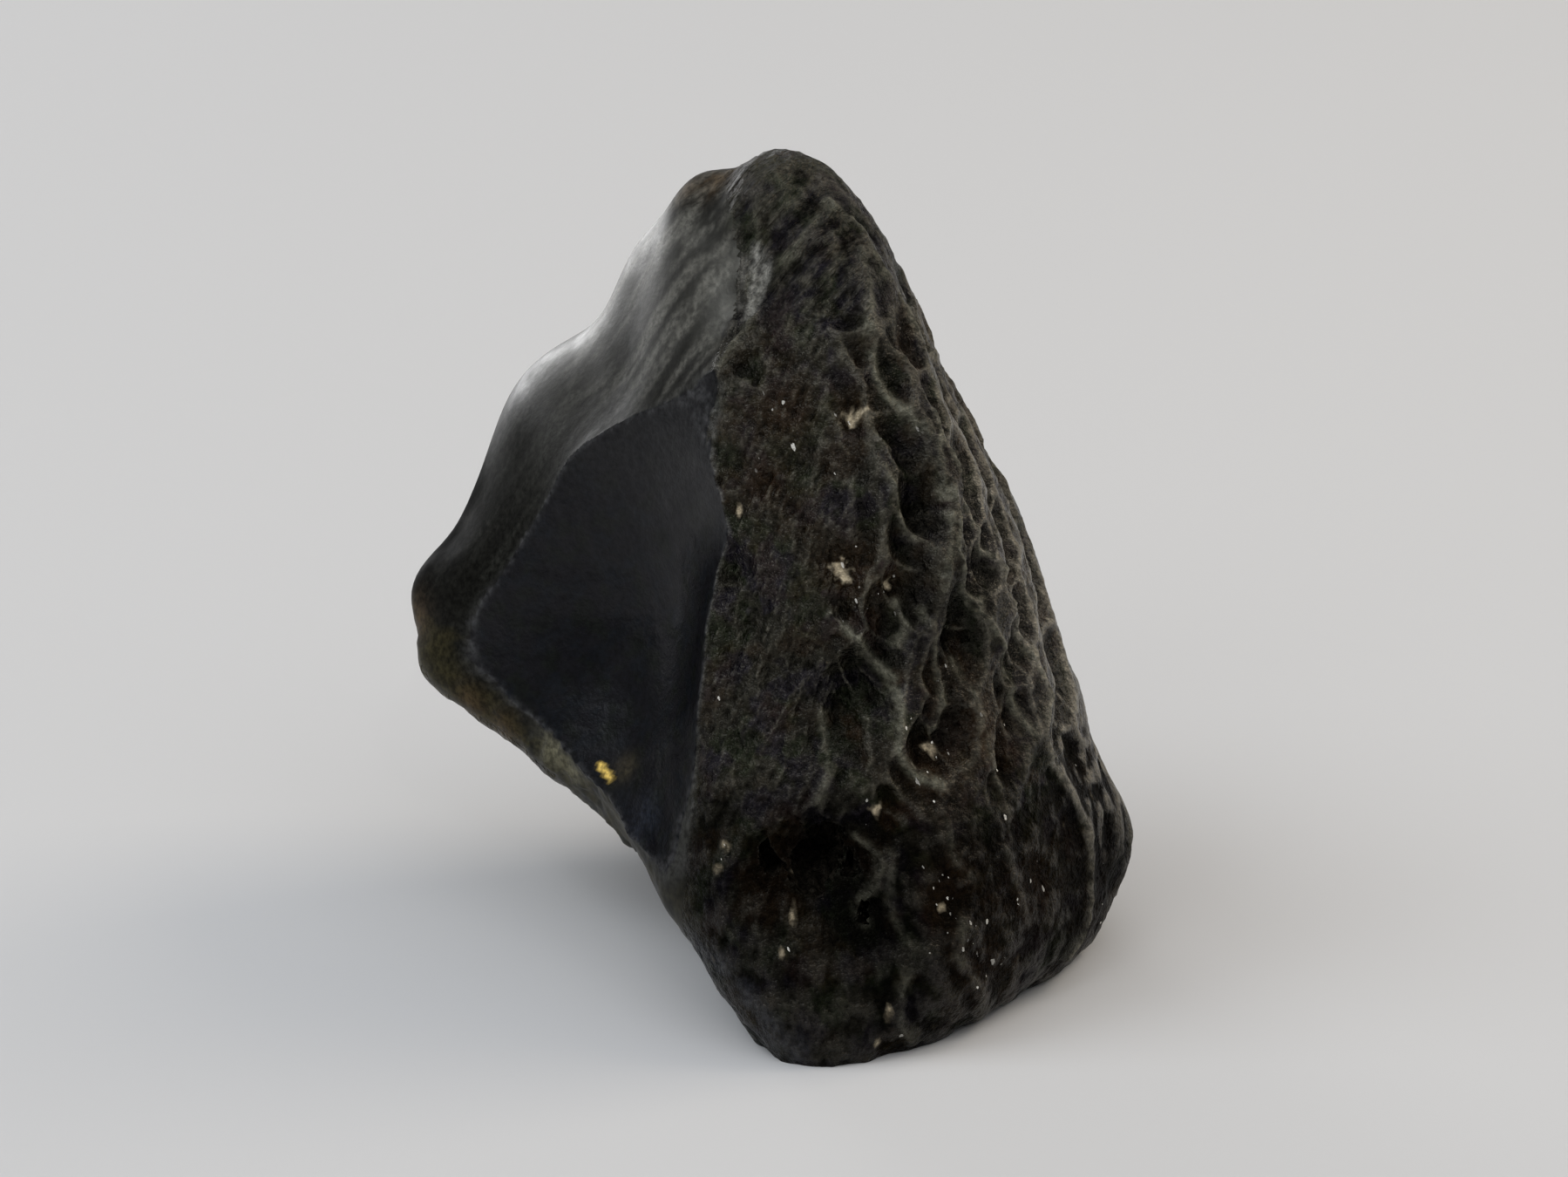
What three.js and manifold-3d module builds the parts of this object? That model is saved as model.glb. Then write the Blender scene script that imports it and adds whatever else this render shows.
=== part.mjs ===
// An indochinite tektite: one natural lump of black-brown glass, taller than wide.
// Its front and right are pitted, its upper left is a smooth rounded skin, and a large
// smooth conchoidal fracture hollows its left side.
// Millimetres, +Z up. The front faces -Y. The origin is under the middle of the stone.

import * as THREE from 'three';
import { mergeVertices } from 'three/addons/utils/BufferGeometryUtils.js';
import Module from 'manifold-3d';

// The mesh of the lump: the number of splits of each edge, and how much the mesh
// is gathered towards the side that it is gathered to.
const LUMP_SPLITS = 20;
const GATHER = 0.28;
const GATHER_SIDE = [0.3, -1, 0.3];

// The block that cuts the fracture: how far it reaches to each side, how high it stands,
// and the number of steps across it. The mesh of the cavity's hollows.
const HOLLOW_REACH = 34;
const HOLLOW_RISE = 40;
const HOLLOW_STEPS = 50;
const CAVITY_SPLITS = 3;

// The softness of the surface that joins the measured points, as a share of the radius,
// and the middle that it is measured from.
const LUMP_ROUNDING = 0.16;
const LUMP_MIDDLE = [0, 20, 24];

// Points on the lump's surface, before the fracture, from the foot of the front (y = 0).
const TOP = [
  [-2, 28.5, 53.2], [3.3, 25.8, 52.2], [-4.8, 30.6, 51.4], [-6.1, 32, 51], [0, 32.5, 50.6],
];
const UPPER_LEFT = [
  [-7.1, 32.8, 49.9], [-9.2, 35, 46.6], [-10.1, 36.3, 44.6], [-11.3, 37, 41],
  [-15.9, 38.6, 36.9], [-18.6, 38.7, 34.2], [-20.9, 36.9, 29.3], [-22.2, 36, 26.3], [-24.9, 34.8, 22.8],
  [-25.9, 33.2, 21], [-7, 27.4, 47.9], [-10.5, 30, 42.3], [-15.2, 31.3, 36.8],
  [-19.2, 32, 31.4], [-23.2, 31.2, 24.2],
];
const WING_EDGE = [
  [-25.4, 31.4, 19], [-24.2, 28.9, 16.6], [-21.7, 26.6, 16], [-19.4, 24.6, 15.3],
  [-16.2, 21.8, 13.1], [-12.8, 19.2, 11], [-11, 19.4, 8.2], [-8.6, 13.6, 7.8],
  [-7.8, 20, 5.6],
];
const CRESCENT = [
  [-4.8, 17.5, 40.8], [-8.1, 20.5, 38.7], [-12.2, 23.6, 35.7], [-16.1, 25.4, 30.2],
  [-19.6, 26.3, 24.1], [-21.5, 26.6, 19],
];
const HOLLOW_FOOT = [
  [-20.7, 25.8, 17.9], [-19.3, 24.6, 17], [-17.8, 23.3, 16], [-16.2, 21.9, 15.2], [-15, 20.4, 14.5],
  [-13.8, 18.8, 13.7], [-12.6, 17, 13.1], [-11.3, 15.1, 12.3], [-10.6, 13.5, 11.5], [-8.3, 9.4, 10.4],
];
const ARRIS = [
  [-5.4, 17.1, 38.2], [-4.1, 14.6, 34.3], [-3.7, 13.8, 32.1], [-4.4, 12.9, 29.5],
  [-5.1, 11.7, 26.3], [-5.5, 10.1, 22], [-5.8, 9.4, 18.6], [-6.4, 8.7, 15.2],
  [-7.4, 8.4, 11.3],
];
const REMOVED_BULGE = [
  [-15.5, 14.5, 25], [-14, 17, 33], [-19, 20, 19], [-11, 12, 16],
];
const FRONT = [
  [-2.4, 22.6, 48.3], [-2, 19.9, 45.5], [2.5, 22.6, 50.6], [5.2, 18.4, 47.9],
  [5.7, 15.7, 43.4], [7.3, 14.3, 41], [9, 13.2, 38], [10.2, 11.5, 33.7],
  [10, 10.2, 29.8], [0.2, 14.4, 38.5], [0.2, 10.2, 28], [1.7, 6.9, 20.3],
  [5.7, 3.6, 12.5], [3.4, 1.5, 5.9], [11.3, 4.5, 12.1], [14.3, 5.8, 6.6],
  [9.1, 2, 5.2], [6, 7.4, 22.5],
];
const LOWER_LEFT = [
  [-7.5, 7.8, 8.2], [-6.4, 7.4, 6.2], [-4.2, 4.5, 3.8], [-0.5, 1.1, 1.8], [3, 0.5, 0.3],
];
const RIGHT_EDGE = [
  [12.5, 12, 30], [14.6, 13.5, 26.1], [16.8, 12.7, 17.6], [19, 14.2, 13.4],
  [20.3, 14.8, 9.5], [20.5, 14.6, 6.3], [20.2, 14.6, 2.2],
];
const RIGHT_BAND = [
  [7, 22.6, 47.4], [9, 21.8, 42.8], [11.6, 19.8, 37], [14.4, 18.4, 30.8], [16.6, 18, 25.4],
];
const RIGHT_SIDE = [
  [5.7, 29.6, 48.4], [7.5, 29.6, 44.8], [9.3, 29.2, 41.2], [12.3, 28, 35],
  [15.7, 26.3, 28.6], [18.7, 24, 20.8], [20.1, 23.4, 16.9], [21.8, 22.8, 12.1],
  [23.7, 22, 7.2], [23, 21, 4.6], [21.4, 20, 1.4],
];
const BACK = [
  [1, 35.5, 45], [-5.5, 37.4, 43.5], [0, 40.5, 35], [8, 35.5, 32], [-12, 41.5, 33],
  [-1, 42.5, 24], [13, 35.5, 21], [-15, 41, 22], [19, 31, 10], [5, 41, 12],
  [-11, 37.5, 13],
];
const WING_UNDERSIDE = [
  [-21, 34.5, 17.2], [-18, 31, 14.8], [-16.2, 28, 13], [-16, 34, 14], [-12.4, 27, 10.4],
  [-10, 28, 5.6],
];
const UNDERSIDE = [
  [6.3, 2.1, -0.3], [12.4, 7.4, -0.1], [18, 16, -0.2], [16, 27, 0.2], [6, 35, 0.1],
  [-4, 31, 0.2], [-3.5, 18, 0.8], [-1.5, 9, 0.6], [4, 14, 1.3], [10, 21, 1.3], [3, 25, 1.2],
];

// The fracture's own frame: its middle, its way out of the stone, and points on the floor
// of its bowl, each as across, up and out.
const HOLLOW_MIDDLE = [-9.3, 16.4, 25.4];
const HOLLOW_OUTWARD = [-0.718, -0.648, 0.252];
const HOLLOW_FLOOR = [[-2.8, 4.5, -2.5], [-6.5, -1.5, -2.8], [-0.5, -6.5, -2.9], [1.6, 0.5, -2.6]];

// The skin's pits: how many are spread over the lump, and their least and greatest
// half width, their depth as a share of it, how far the skin between them stands over the
// measured surface, and how much longer than wide they are.
const PIT_COUNT = 420;
const PIT_LEAST = 1.3;
const PIT_GREATEST = 2.7;
const PIT_DEPTH = 0.46;
const PIT_BRIM = 0.45;
const PIT_STRETCH = 1.5;
const PIT_FLOW = [0.42, -0.35, -0.84];

// The steps of the even scatter that places the pits.
const SCATTER_STEPS = [0.7548776662, 0.5698402910, 0.3819660113, 0.2360679775];

// Ridges on the front: their points, width and height.
const RIDGES = [
  {
    points: [[2.3, 22.7, 50.6], [5.1, 18.5, 47.9], [5.5, 15.8, 43.4], [7.1, 14.5, 41.2],
      [8.7, 13.4, 38.2], [10, 11.7, 33.7], [9.7, 10.3, 29.8]],
    width: 1.5,
    height: 0.7,
  },
  {
    points: [[3.1, 10, 27.4], [4.7, 8.7, 25.3], [6.7, 8.1, 23.8], [6.9, 7, 20.8], [8.3, 6.1, 18.1],
      [11.2, 6.1, 16.8]],
    width: 1.2,
    height: 0.9,
  },
  {
    points: [[14.6, 13.7, 26.1], [16.7, 12.8, 17.6], [19, 14.5, 13.4], [20.3, 15.1, 9.5],
      [20.6, 15.1, 6.3], [20.4, 14.7, 2.4]],
    width: 1.1,
    height: 0.5,
  },
  {
    points: [[-4.6, 17.6, 41.2], [-2.2, 19.2, 44.6], [-2, 21.5, 47.6]],
    width: 1,
    height: 0.5,
  },
];

// Hollows pressed into the front: the middle, the half sizes across and along, and the depth.
const DENTS = [
  { middle: [3.9, 8.1, 22.3], radius: 3, depth: 1.3 },
  { middle: [7.4, 2, 5.2], radius: 1.6, depth: 0.9 },
  { middle: [-1.9, 21.7, 47.2], radius: 1.6, depth: 0.7 },
];

// The cavity: uneven rounded hollows that run into each other.
const CAVITY_SWELL = 0.14;
const CAVITY = [
  { middle: [1.2, 4.6, 13.9], half: [2.1, 3.4, 2] },
  { middle: [3.6, 3.6, 11.2], half: [1.9, 4, 2.9] },
  { middle: [6, 2.8, 9.2], half: [0.8, 2.2, 1.7] },
  { middle: [-1.6, 5.4, 12.9], half: [0.6, 1.4, 0.7] },
];

const GLASS_COLOUR = 0x17130f;
const GLASS_ROUGHNESS = 0.28;
const GLASS_METALNESS = 0;

const wasm = await Module();
wasm.setup();

function vector(point) {
  return new THREE.Vector3(point[0], point[1], point[2]);
}

function fraction(value) {
  return value - Math.floor(value);
}

function smoothStep(low, high, value) {
  const share = Math.min(1, Math.max(0, (value - low) / (high - low)));
  return share * share * (3 - 2 * share);
}

// The weights that solve the rows for the wanted values.
function solve(rows, wanted) {
  const size = wanted.length;
  for (let column = 0; column < size; column += 1) {
    let best = column;
    for (let row = column + 1; row < size; row += 1) {
      if (Math.abs(rows[row][column]) > Math.abs(rows[best][column])) best = row;
    }
    [rows[column], rows[best]] = [rows[best], rows[column]];
    [wanted[column], wanted[best]] = [wanted[best], wanted[column]];
    for (let row = column + 1; row < size; row += 1) {
      const factor = rows[row][column] / rows[column][column];
      for (let k = column; k < size; k += 1) rows[row][k] -= factor * rows[column][k];
      wanted[row] -= factor * wanted[column];
    }
  }
  const weights = new Array(size).fill(0);
  for (let row = size - 1; row >= 0; row -= 1) {
    let sum = wanted[row];
    for (let k = row + 1; k < size; k += 1) sum -= rows[row][k] * weights[k];
    weights[row] = sum / rows[row][row];
  }
  return weights;
}

// A surface seen from its middle: the radius in each direction, through all the points.
function radialSurface(middle, points, rounding) {
  const centre = vector(middle);
  const arms = points.map((point) => vector(point).sub(centre));
  const sides = arms.map((arm) => arm.clone().normalize());
  const cone = (a, b) => Math.sqrt(a.distanceToSquared(b) + rounding * rounding);
  const rows = sides.map((side) => [...sides.map((other) => cone(side, other)), 1]);
  rows.push([...sides.map(() => 1), 0]);
  const weights = solve(rows, [...arms.map((arm) => arm.length()), 0]);
  return (side) => {
    let radius = weights[sides.length];
    for (let i = 0; i < sides.length; i += 1) radius += weights[i] * cone(side, sides[i]);
    return radius;
  };
}

// The distance from a point to a line of points.
function distanceToLine(point, line) {
  let least = Infinity;
  for (let i = 1; i < line.length; i += 1) {
    const segment = new THREE.Line3(line[i - 1], line[i]);
    const nearest = segment.closestPointToPoint(point, true, new THREE.Vector3());
    least = Math.min(least, nearest.distanceTo(point));
  }
  return least;
}

// A ball of triangles, gathered towards one side, with each vertex at the place that
// the rule gives for its direction.
function shapedBall(splits, gather, gatherSide, place) {
  const geometry = new THREE.IcosahedronGeometry(1, splits);
  geometry.deleteAttribute('normal');
  geometry.deleteAttribute('uv');
  const ball = mergeVertices(geometry, 1e-5);
  const position = ball.attributes.position;
  const pull = vector(gatherSide).normalize().multiplyScalar(gather);
  const side = new THREE.Vector3();
  for (let i = 0; i < position.count; i += 1) {
    side.fromBufferAttribute(position, i).normalize().add(pull).normalize();
    const placed = place(side);
    position.setXYZ(i, placed.x, placed.y, placed.z);
  }
  return ball;
}

function solidOf(geometry) {
  return new wasm.Manifold(new wasm.Mesh({
    numProp: 3,
    vertProperties: new Float32Array(geometry.attributes.position.array),
    triVerts: new Uint32Array(geometry.index.array),
  }));
}

function geometryOf(solid) {
  const mesh = solid.getMesh();
  const geometry = new THREE.BufferGeometry();
  const places = new Float32Array(mesh.vertProperties);
  geometry.setAttribute('position', new THREE.BufferAttribute(places, 3));
  geometry.setIndex(new THREE.BufferAttribute(new Uint32Array(mesh.triVerts), 1));
  return geometry;
}

const lumpCentre = vector(LUMP_MIDDLE);
const lumpRadius = radialSurface(LUMP_MIDDLE, [
  ...TOP, ...UPPER_LEFT, ...WING_EDGE, ...CRESCENT, ...HOLLOW_FOOT, ...ARRIS, ...REMOVED_BULGE,
  ...FRONT, ...LOWER_LEFT, ...RIGHT_EDGE, ...RIGHT_BAND, ...RIGHT_SIDE, ...BACK,
  ...WING_UNDERSIDE, ...UNDERSIDE,
], LUMP_ROUNDING);

function onLump(side) {
  return side.clone().multiplyScalar(lumpRadius(side)).add(lumpCentre);
}

function onLumpAbove(point) {
  return onLump(vector(point).sub(lumpCentre).normalize());
}

// The pits' middles, long directions and sizes.
const flow = vector(PIT_FLOW).normalize();
const pits = [];
for (let i = 0; i < PIT_COUNT; i += 1) {
  const height = 1 - 2 * fraction(0.5 + i * SCATTER_STEPS[0]);
  const turn = 2 * Math.PI * fraction(0.5 + i * SCATTER_STEPS[1]);
  const ring = Math.sqrt(1 - height * height);
  const side = new THREE.Vector3(ring * Math.cos(turn), ring * Math.sin(turn), height);
  const size = fraction(i * SCATTER_STEPS[2]);
  const lean = (fraction(i * SCATTER_STEPS[3]) - 0.5) * 1.2;
  pits.push({
    middle: onLump(side),
    along: flow.clone().applyAxisAngle(side, lean),
    half: PIT_LEAST + (PIT_GREATEST - PIT_LEAST) * size * size,
  });
}

function pitDepth(point) {
  let deepest = 0;
  const arm = new THREE.Vector3();
  for (const pit of pits) {
    arm.subVectors(point, pit.middle);
    const distance = arm.lengthSq();
    if (distance > 36) continue;
    const along = arm.dot(pit.along) / PIT_STRETCH;
    const reach = (along * along + distance - arm.dot(pit.along) ** 2) / (pit.half * pit.half);
    if (reach < 1) deepest = Math.max(deepest, PIT_DEPTH * pit.half * (1 - reach));
  }
  return deepest;
}

const ridgeLines = RIDGES.map((ridge) => ridge.points.map(onLumpAbove));
const dentMiddles = DENTS.map((dent) => onLumpAbove(dent.middle));

// The share of the pitted skin: none on the smooth upper left, all elsewhere.
const smoothSide = new THREE.Vector3(-0.78, -0.32, 0.54).normalize();
function pittedShare(point) {
  return 1 - smoothStep(13.5, 16, point.clone().sub(lumpCentre).dot(smoothSide));
}

function lumpPlace(side) {
  const base = onLump(side);
  const pitted = pittedShare(base);
  let rise = (PIT_BRIM - pitDepth(base)) * pitted;
  RIDGES.forEach((ridge, i) => {
    const share = distanceToLine(base, ridgeLines[i]) / ridge.width;
    rise += ridge.height * Math.exp(-share * share);
  });
  DENTS.forEach((dent, i) => {
    const share = base.distanceTo(dentMiddles[i]) / dent.radius;
    rise -= dent.depth * Math.exp(-share * share);
  });
  return base.add(side.clone().multiplyScalar(rise));
}

const lump = solidOf(shapedBall(LUMP_SPLITS, GATHER, GATHER_SIDE, lumpPlace));

// The fracture's frame, and the least bent sheet through the fracture's edge and floor,
// as a height out of the frame for each place across and up.
const hollowOut = vector(HOLLOW_OUTWARD).normalize();
const hollowUp = new THREE.Vector3(0, 0, 1).addScaledVector(hollowOut, -hollowOut.z).normalize();
const hollowAcross = hollowUp.clone().cross(hollowOut);
const hollowCentre = vector(HOLLOW_MIDDLE);

function inHollow(point) {
  const arm = vector(point).sub(hollowCentre);
  return new THREE.Vector3(arm.dot(hollowAcross), arm.dot(hollowUp), arm.dot(hollowOut));
}

function bend(x, y) {
  const apart = Math.max(Math.hypot(x, y), 1e-6);
  return apart * apart * Math.log(apart);
}

function sheetThrough(points) {
  const rows = points.map((a) => [...points.map((b) => bend(a.x - b.x, a.y - b.y)), 1, a.x, a.y]);
  rows.push([...points.map(() => 1), 0, 0, 0]);
  rows.push([...points.map((point) => point.x), 0, 0, 0]);
  rows.push([...points.map((point) => point.y), 0, 0, 0]);
  const weights = solve(rows, [...points.map((point) => point.z), 0, 0, 0]);
  const last = points.length;
  return (x, y) => {
    let height = weights[last] + weights[last + 1] * x + weights[last + 2] * y;
    for (let i = 0; i < last; i += 1) height += weights[i] * bend(x - points[i].x, y - points[i].y);
    return height;
  };
}

const hollowSheet = sheetThrough([
  ...CRESCENT.map(inHollow), ...HOLLOW_FOOT.map(inHollow), ...ARRIS.map(inHollow),
  ...HOLLOW_FLOOR.map(vector),
]);

// The block that fills the fracture's hollow: its under side is the sheet.
function hollowBlock() {
  const width = 2 * HOLLOW_REACH;
  const block = new THREE.BoxGeometry(width, width, 2, HOLLOW_STEPS, HOLLOW_STEPS, 1);
  block.deleteAttribute('normal');
  block.deleteAttribute('uv');
  const welded = mergeVertices(block, 1e-5);
  const position = welded.attributes.position;
  for (let i = 0; i < position.count; i += 1) {
    const x = position.getX(i);
    const y = position.getY(i);
    const height = position.getZ(i) > 0 ? HOLLOW_RISE : hollowSheet(x, y);
    const placed = hollowCentre.clone().addScaledVector(hollowAcross, x).addScaledVector(hollowUp, y)
      .addScaledVector(hollowOut, height);
    position.setXYZ(i, placed.x, placed.y, placed.z);
  }
  return welded;
}

const hollow = solidOf(hollowBlock());

let stone = lump.subtract(hollow);

for (const bite of CAVITY) {
  const middle = vector(bite.middle);
  const half = vector(bite.half);
  const bitten = shapedBall(CAVITY_SPLITS, 0, GATHER_SIDE, (side) => {
    const wave = Math.sin(3 * side.x + 2 * middle.z) * Math.cos(3 * side.z - middle.x);
    return side.clone().multiply(half).multiplyScalar(1 + CAVITY_SWELL * wave).add(middle);
  });
  stone = stone.subtract(solidOf(bitten));
}

// The flat that the stone rests on.
const ground = new THREE.BoxGeometry(120, 120, 20);
ground.deleteAttribute('normal');
ground.deleteAttribute('uv');
ground.translate(0, 20, -10);
stone = stone.subtract(solidOf(mergeVertices(ground)));

const stoneGeometry = geometryOf(stone);
stoneGeometry.computeBoundingBox();
const boxMiddle = stoneGeometry.boundingBox.getCenter(new THREE.Vector3());
stoneGeometry.translate(-boxMiddle.x, -boxMiddle.y, 0);
stoneGeometry.computeVertexNormals();

const glass = new THREE.MeshStandardMaterial({
  color: GLASS_COLOUR,
  roughness: GLASS_ROUGHNESS,
  metalness: GLASS_METALNESS,
});

const group = new THREE.Group();
const tektite = new THREE.Mesh(stoneGeometry, glass);
tektite.name = 'tektite';
group.add(tektite);

export default group;
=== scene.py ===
"""An indochinite tektite: one upright lump of black-brown natural glass on a pale floor.
Lengths are worked out in millimetres from the foot of the stone's front, and go into the mesh in metres."""
import math
from types import SimpleNamespace

import bmesh
import bpy
import numpy as np
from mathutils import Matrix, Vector, noise


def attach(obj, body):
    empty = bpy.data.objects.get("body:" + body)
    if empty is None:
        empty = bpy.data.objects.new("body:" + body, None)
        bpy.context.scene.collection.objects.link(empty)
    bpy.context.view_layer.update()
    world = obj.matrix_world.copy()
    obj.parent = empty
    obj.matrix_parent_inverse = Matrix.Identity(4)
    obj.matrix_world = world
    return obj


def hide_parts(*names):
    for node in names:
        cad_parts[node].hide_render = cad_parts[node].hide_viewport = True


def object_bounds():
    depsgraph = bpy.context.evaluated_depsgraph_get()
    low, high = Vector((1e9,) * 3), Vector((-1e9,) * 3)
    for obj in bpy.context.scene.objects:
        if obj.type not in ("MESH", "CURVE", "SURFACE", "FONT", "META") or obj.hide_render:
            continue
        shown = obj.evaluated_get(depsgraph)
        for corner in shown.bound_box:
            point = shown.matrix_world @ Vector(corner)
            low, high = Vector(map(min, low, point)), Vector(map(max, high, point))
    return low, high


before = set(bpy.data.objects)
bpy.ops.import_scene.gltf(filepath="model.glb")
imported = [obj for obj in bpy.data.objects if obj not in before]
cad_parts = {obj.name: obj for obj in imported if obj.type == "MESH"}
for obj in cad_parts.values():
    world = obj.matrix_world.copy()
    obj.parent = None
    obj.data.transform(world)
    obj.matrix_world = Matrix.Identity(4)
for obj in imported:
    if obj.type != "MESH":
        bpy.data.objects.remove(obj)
CAD_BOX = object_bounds()

# The move that brings the stone's middle over the origin, and the length of a millimetre.
TO_ORIGIN = (1.2125, -21.7141, 0.0)
MM = 0.001

# The middle that the stone's surface is measured from, and how round the surface is near its points.
LUMP_MIDDLE = (0, 20, 24)
LUMP_ROUNDING = 0.16

# Points on the lump's surface, before the fracture.
TOP = [(-2, 28.5, 53.2), (3.3, 25.8, 52.2), (-4.8, 30.6, 51.4), (-6.1, 32, 51), (0, 32.5, 50.6)]
UPPER_LEFT = [
    (-7.1, 32.8, 49.9), (-9.2, 35, 46.6), (-10.1, 36.3, 44.6), (-11.3, 37, 41), (-15.9, 38.6, 36.9),
    (-18.6, 38.7, 34.2), (-20.9, 36.9, 29.3), (-22.2, 36, 26.3), (-24.9, 34.8, 22.8), (-25.9, 33.2, 21),
    (-7, 27.4, 47.9), (-10.5, 30, 42.3), (-15.2, 31.3, 36.8), (-19.2, 32, 31.4), (-23.2, 31.2, 24.2)]
WING_EDGE = [
    (-25.4, 31.4, 19), (-24.2, 28.9, 16.6), (-21.7, 26.6, 16), (-19.4, 24.6, 15.3), (-16.2, 21.8, 13.1),
    (-12.8, 19.2, 11), (-11, 19.4, 8.2), (-8.6, 13.6, 7.8), (-7.8, 20, 5.6)]
CRESCENT = [
    (-4.8, 17.5, 40.8), (-8.1, 20.5, 38.7), (-12.2, 23.6, 35.7), (-16.1, 25.4, 30.2), (-19.6, 26.3, 24.1),
    (-21.5, 26.6, 19)]
HOLLOW_FOOT = [
    (-20.7, 25.8, 17.9), (-19.3, 24.6, 17), (-17.8, 23.3, 16), (-16.2, 21.9, 15.2), (-15, 20.4, 14.5),
    (-13.8, 18.8, 13.7), (-12.6, 17, 13.1), (-11.3, 15.1, 12.3), (-10.6, 13.5, 11.5), (-8.3, 9.4, 10.4)]
ARRIS = [
    (-5.4, 17.1, 38.2), (-4.1, 14.6, 34.3), (-3.7, 13.8, 32.1), (-4.4, 12.9, 29.5), (-5.1, 11.7, 26.3),
    (-5.5, 10.1, 22), (-5.8, 9.4, 18.6), (-6.4, 8.7, 15.2), (-7.4, 8.4, 11.3)]
REMOVED_BULGE = [(-15.5, 14.5, 25), (-14, 17, 33), (-19, 20, 19), (-11, 12, 16)]
FRONT = [
    (-2.4, 22.6, 48.3), (-2, 19.9, 45.5), (2.5, 22.6, 50.6), (5.2, 18.4, 47.9), (5.7, 15.7, 43.4),
    (7.3, 14.3, 41), (9, 13.2, 38), (10.2, 11.5, 33.7), (10, 10.2, 29.8), (0.2, 14.4, 38.5), (0.2, 10.2, 28),
    (1.7, 6.9, 20.3), (5.7, 3.6, 12.5), (3.4, 1.5, 5.9), (11.3, 4.5, 12.1), (14.3, 5.8, 6.6), (9.1, 2, 5.2),
    (6, 7.4, 22.5)]
LOWER_LEFT = [(-7.5, 7.8, 8.2), (-6.4, 7.4, 6.2), (-4.2, 4.5, 3.8), (-0.5, 1.1, 1.8), (3, 0.5, 0.3)]
RIGHT_EDGE = [
    (12.5, 12, 30), (14.6, 13.5, 26.1), (16.8, 12.7, 17.6), (19, 14.2, 13.4), (20.3, 14.8, 9.5),
    (20.5, 14.6, 6.3), (20.2, 14.6, 2.2)]
RIGHT_BAND = [(7, 22.6, 47.4), (9, 21.8, 42.8), (11.6, 19.8, 37), (14.4, 18.4, 30.8), (16.6, 18, 25.4)]
RIGHT_SIDE = [
    (5.7, 29.6, 48.4), (7.5, 29.6, 44.8), (9.3, 29.2, 41.2), (12.3, 28, 35), (15.7, 26.3, 28.6),
    (18.7, 24, 20.8), (20.1, 23.4, 16.9), (21.8, 22.8, 12.1), (23.7, 22, 7.2), (23, 21, 4.6), (21.4, 20, 1.4)]
BACK = [
    (1, 35.5, 45), (-5.5, 37.4, 43.5), (0, 40.5, 35), (8, 35.5, 32), (-12, 41.5, 33), (-1, 42.5, 24),
    (13, 35.5, 21), (-15, 41, 22), (19, 31, 10), (5, 41, 12), (-11, 37.5, 13)]
WING_UNDERSIDE = [
    (-21, 34.5, 17.2), (-18, 31, 14.8), (-16.2, 28, 13), (-16, 34, 14), (-12.4, 27, 10.4), (-10, 28, 5.6)]
UNDERSIDE = [
    (6.3, 2.1, -0.3), (12.4, 7.4, -0.1), (18, 16, -0.2), (16, 27, 0.2), (6, 35, 0.1), (-4, 31, 0.2),
    (-3.5, 18, 0.8), (-1.5, 9, 0.6), (4, 14, 1.3), (10, 21, 1.3), (3, 25, 1.2)]
# The fracture's frame: its middle, the way out of the stone, and the depths of its bowl (across, up, out).
HOLLOW_MIDDLE = (-9.3, 16.4, 25.4)
HOLLOW_OUTWARD = (-0.718, -0.648, 0.252)
HOLLOW_FLOOR = [(-2.8, 4.5, -2.5), (-6.5, -1.5, -2.8), (-0.5, -6.5, -2.9), (1.6, 0.5, -2.6)]
# Where its fine rays come from, and how high the rays and the rings round that place are.
RAYS_FROM = (-14, 22)
RAY_HEIGHT, RING_HEIGHT = 0.035, 0.05
# The block that cuts it: half its side, its height, and its squares along a side.
HOLLOW_REACH, HOLLOW_BLOCK, HOLLOW_STEPS = 34, 40, 250
# How near a point has to be to the fracture's surface to count as on it.
ON_FRACTURE = 0.02

# Sets of pits: how many, their least and greatest half width, how far they lean from the flow, and how long
# and how deep each is for its half width. The brim is the height of the skin between the main pits.
MAIN_PITS = {"count": 1450, "least": 0.75, "greatest": 1.9, "lean": 0.8, "stretch": 1.75, "depth": 0.7}
CALM_PITS = {"count": 620, "least": 0.5, "greatest": 1.6, "lean": 2.0, "stretch": 1.3, "depth": 0.26}
SMALL_PITS = {"count": 5200, "least": 0.25, "greatest": 0.85, "lean": 1.2, "stretch": 1.8, "depth": 0.42}
PIT_FLOW = (0.42, -0.35, -0.84)
PIT_BRIM = 0.4
# Pits thin out where the lump's radius is less than this, and follow steps that fill the ball evenly.
FULL_RADIUS = 30
SCATTER_STEPS = (0.7548776662, 0.5698402910, 0.3819660113, 0.2360679775, 0.6180339887)

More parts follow.
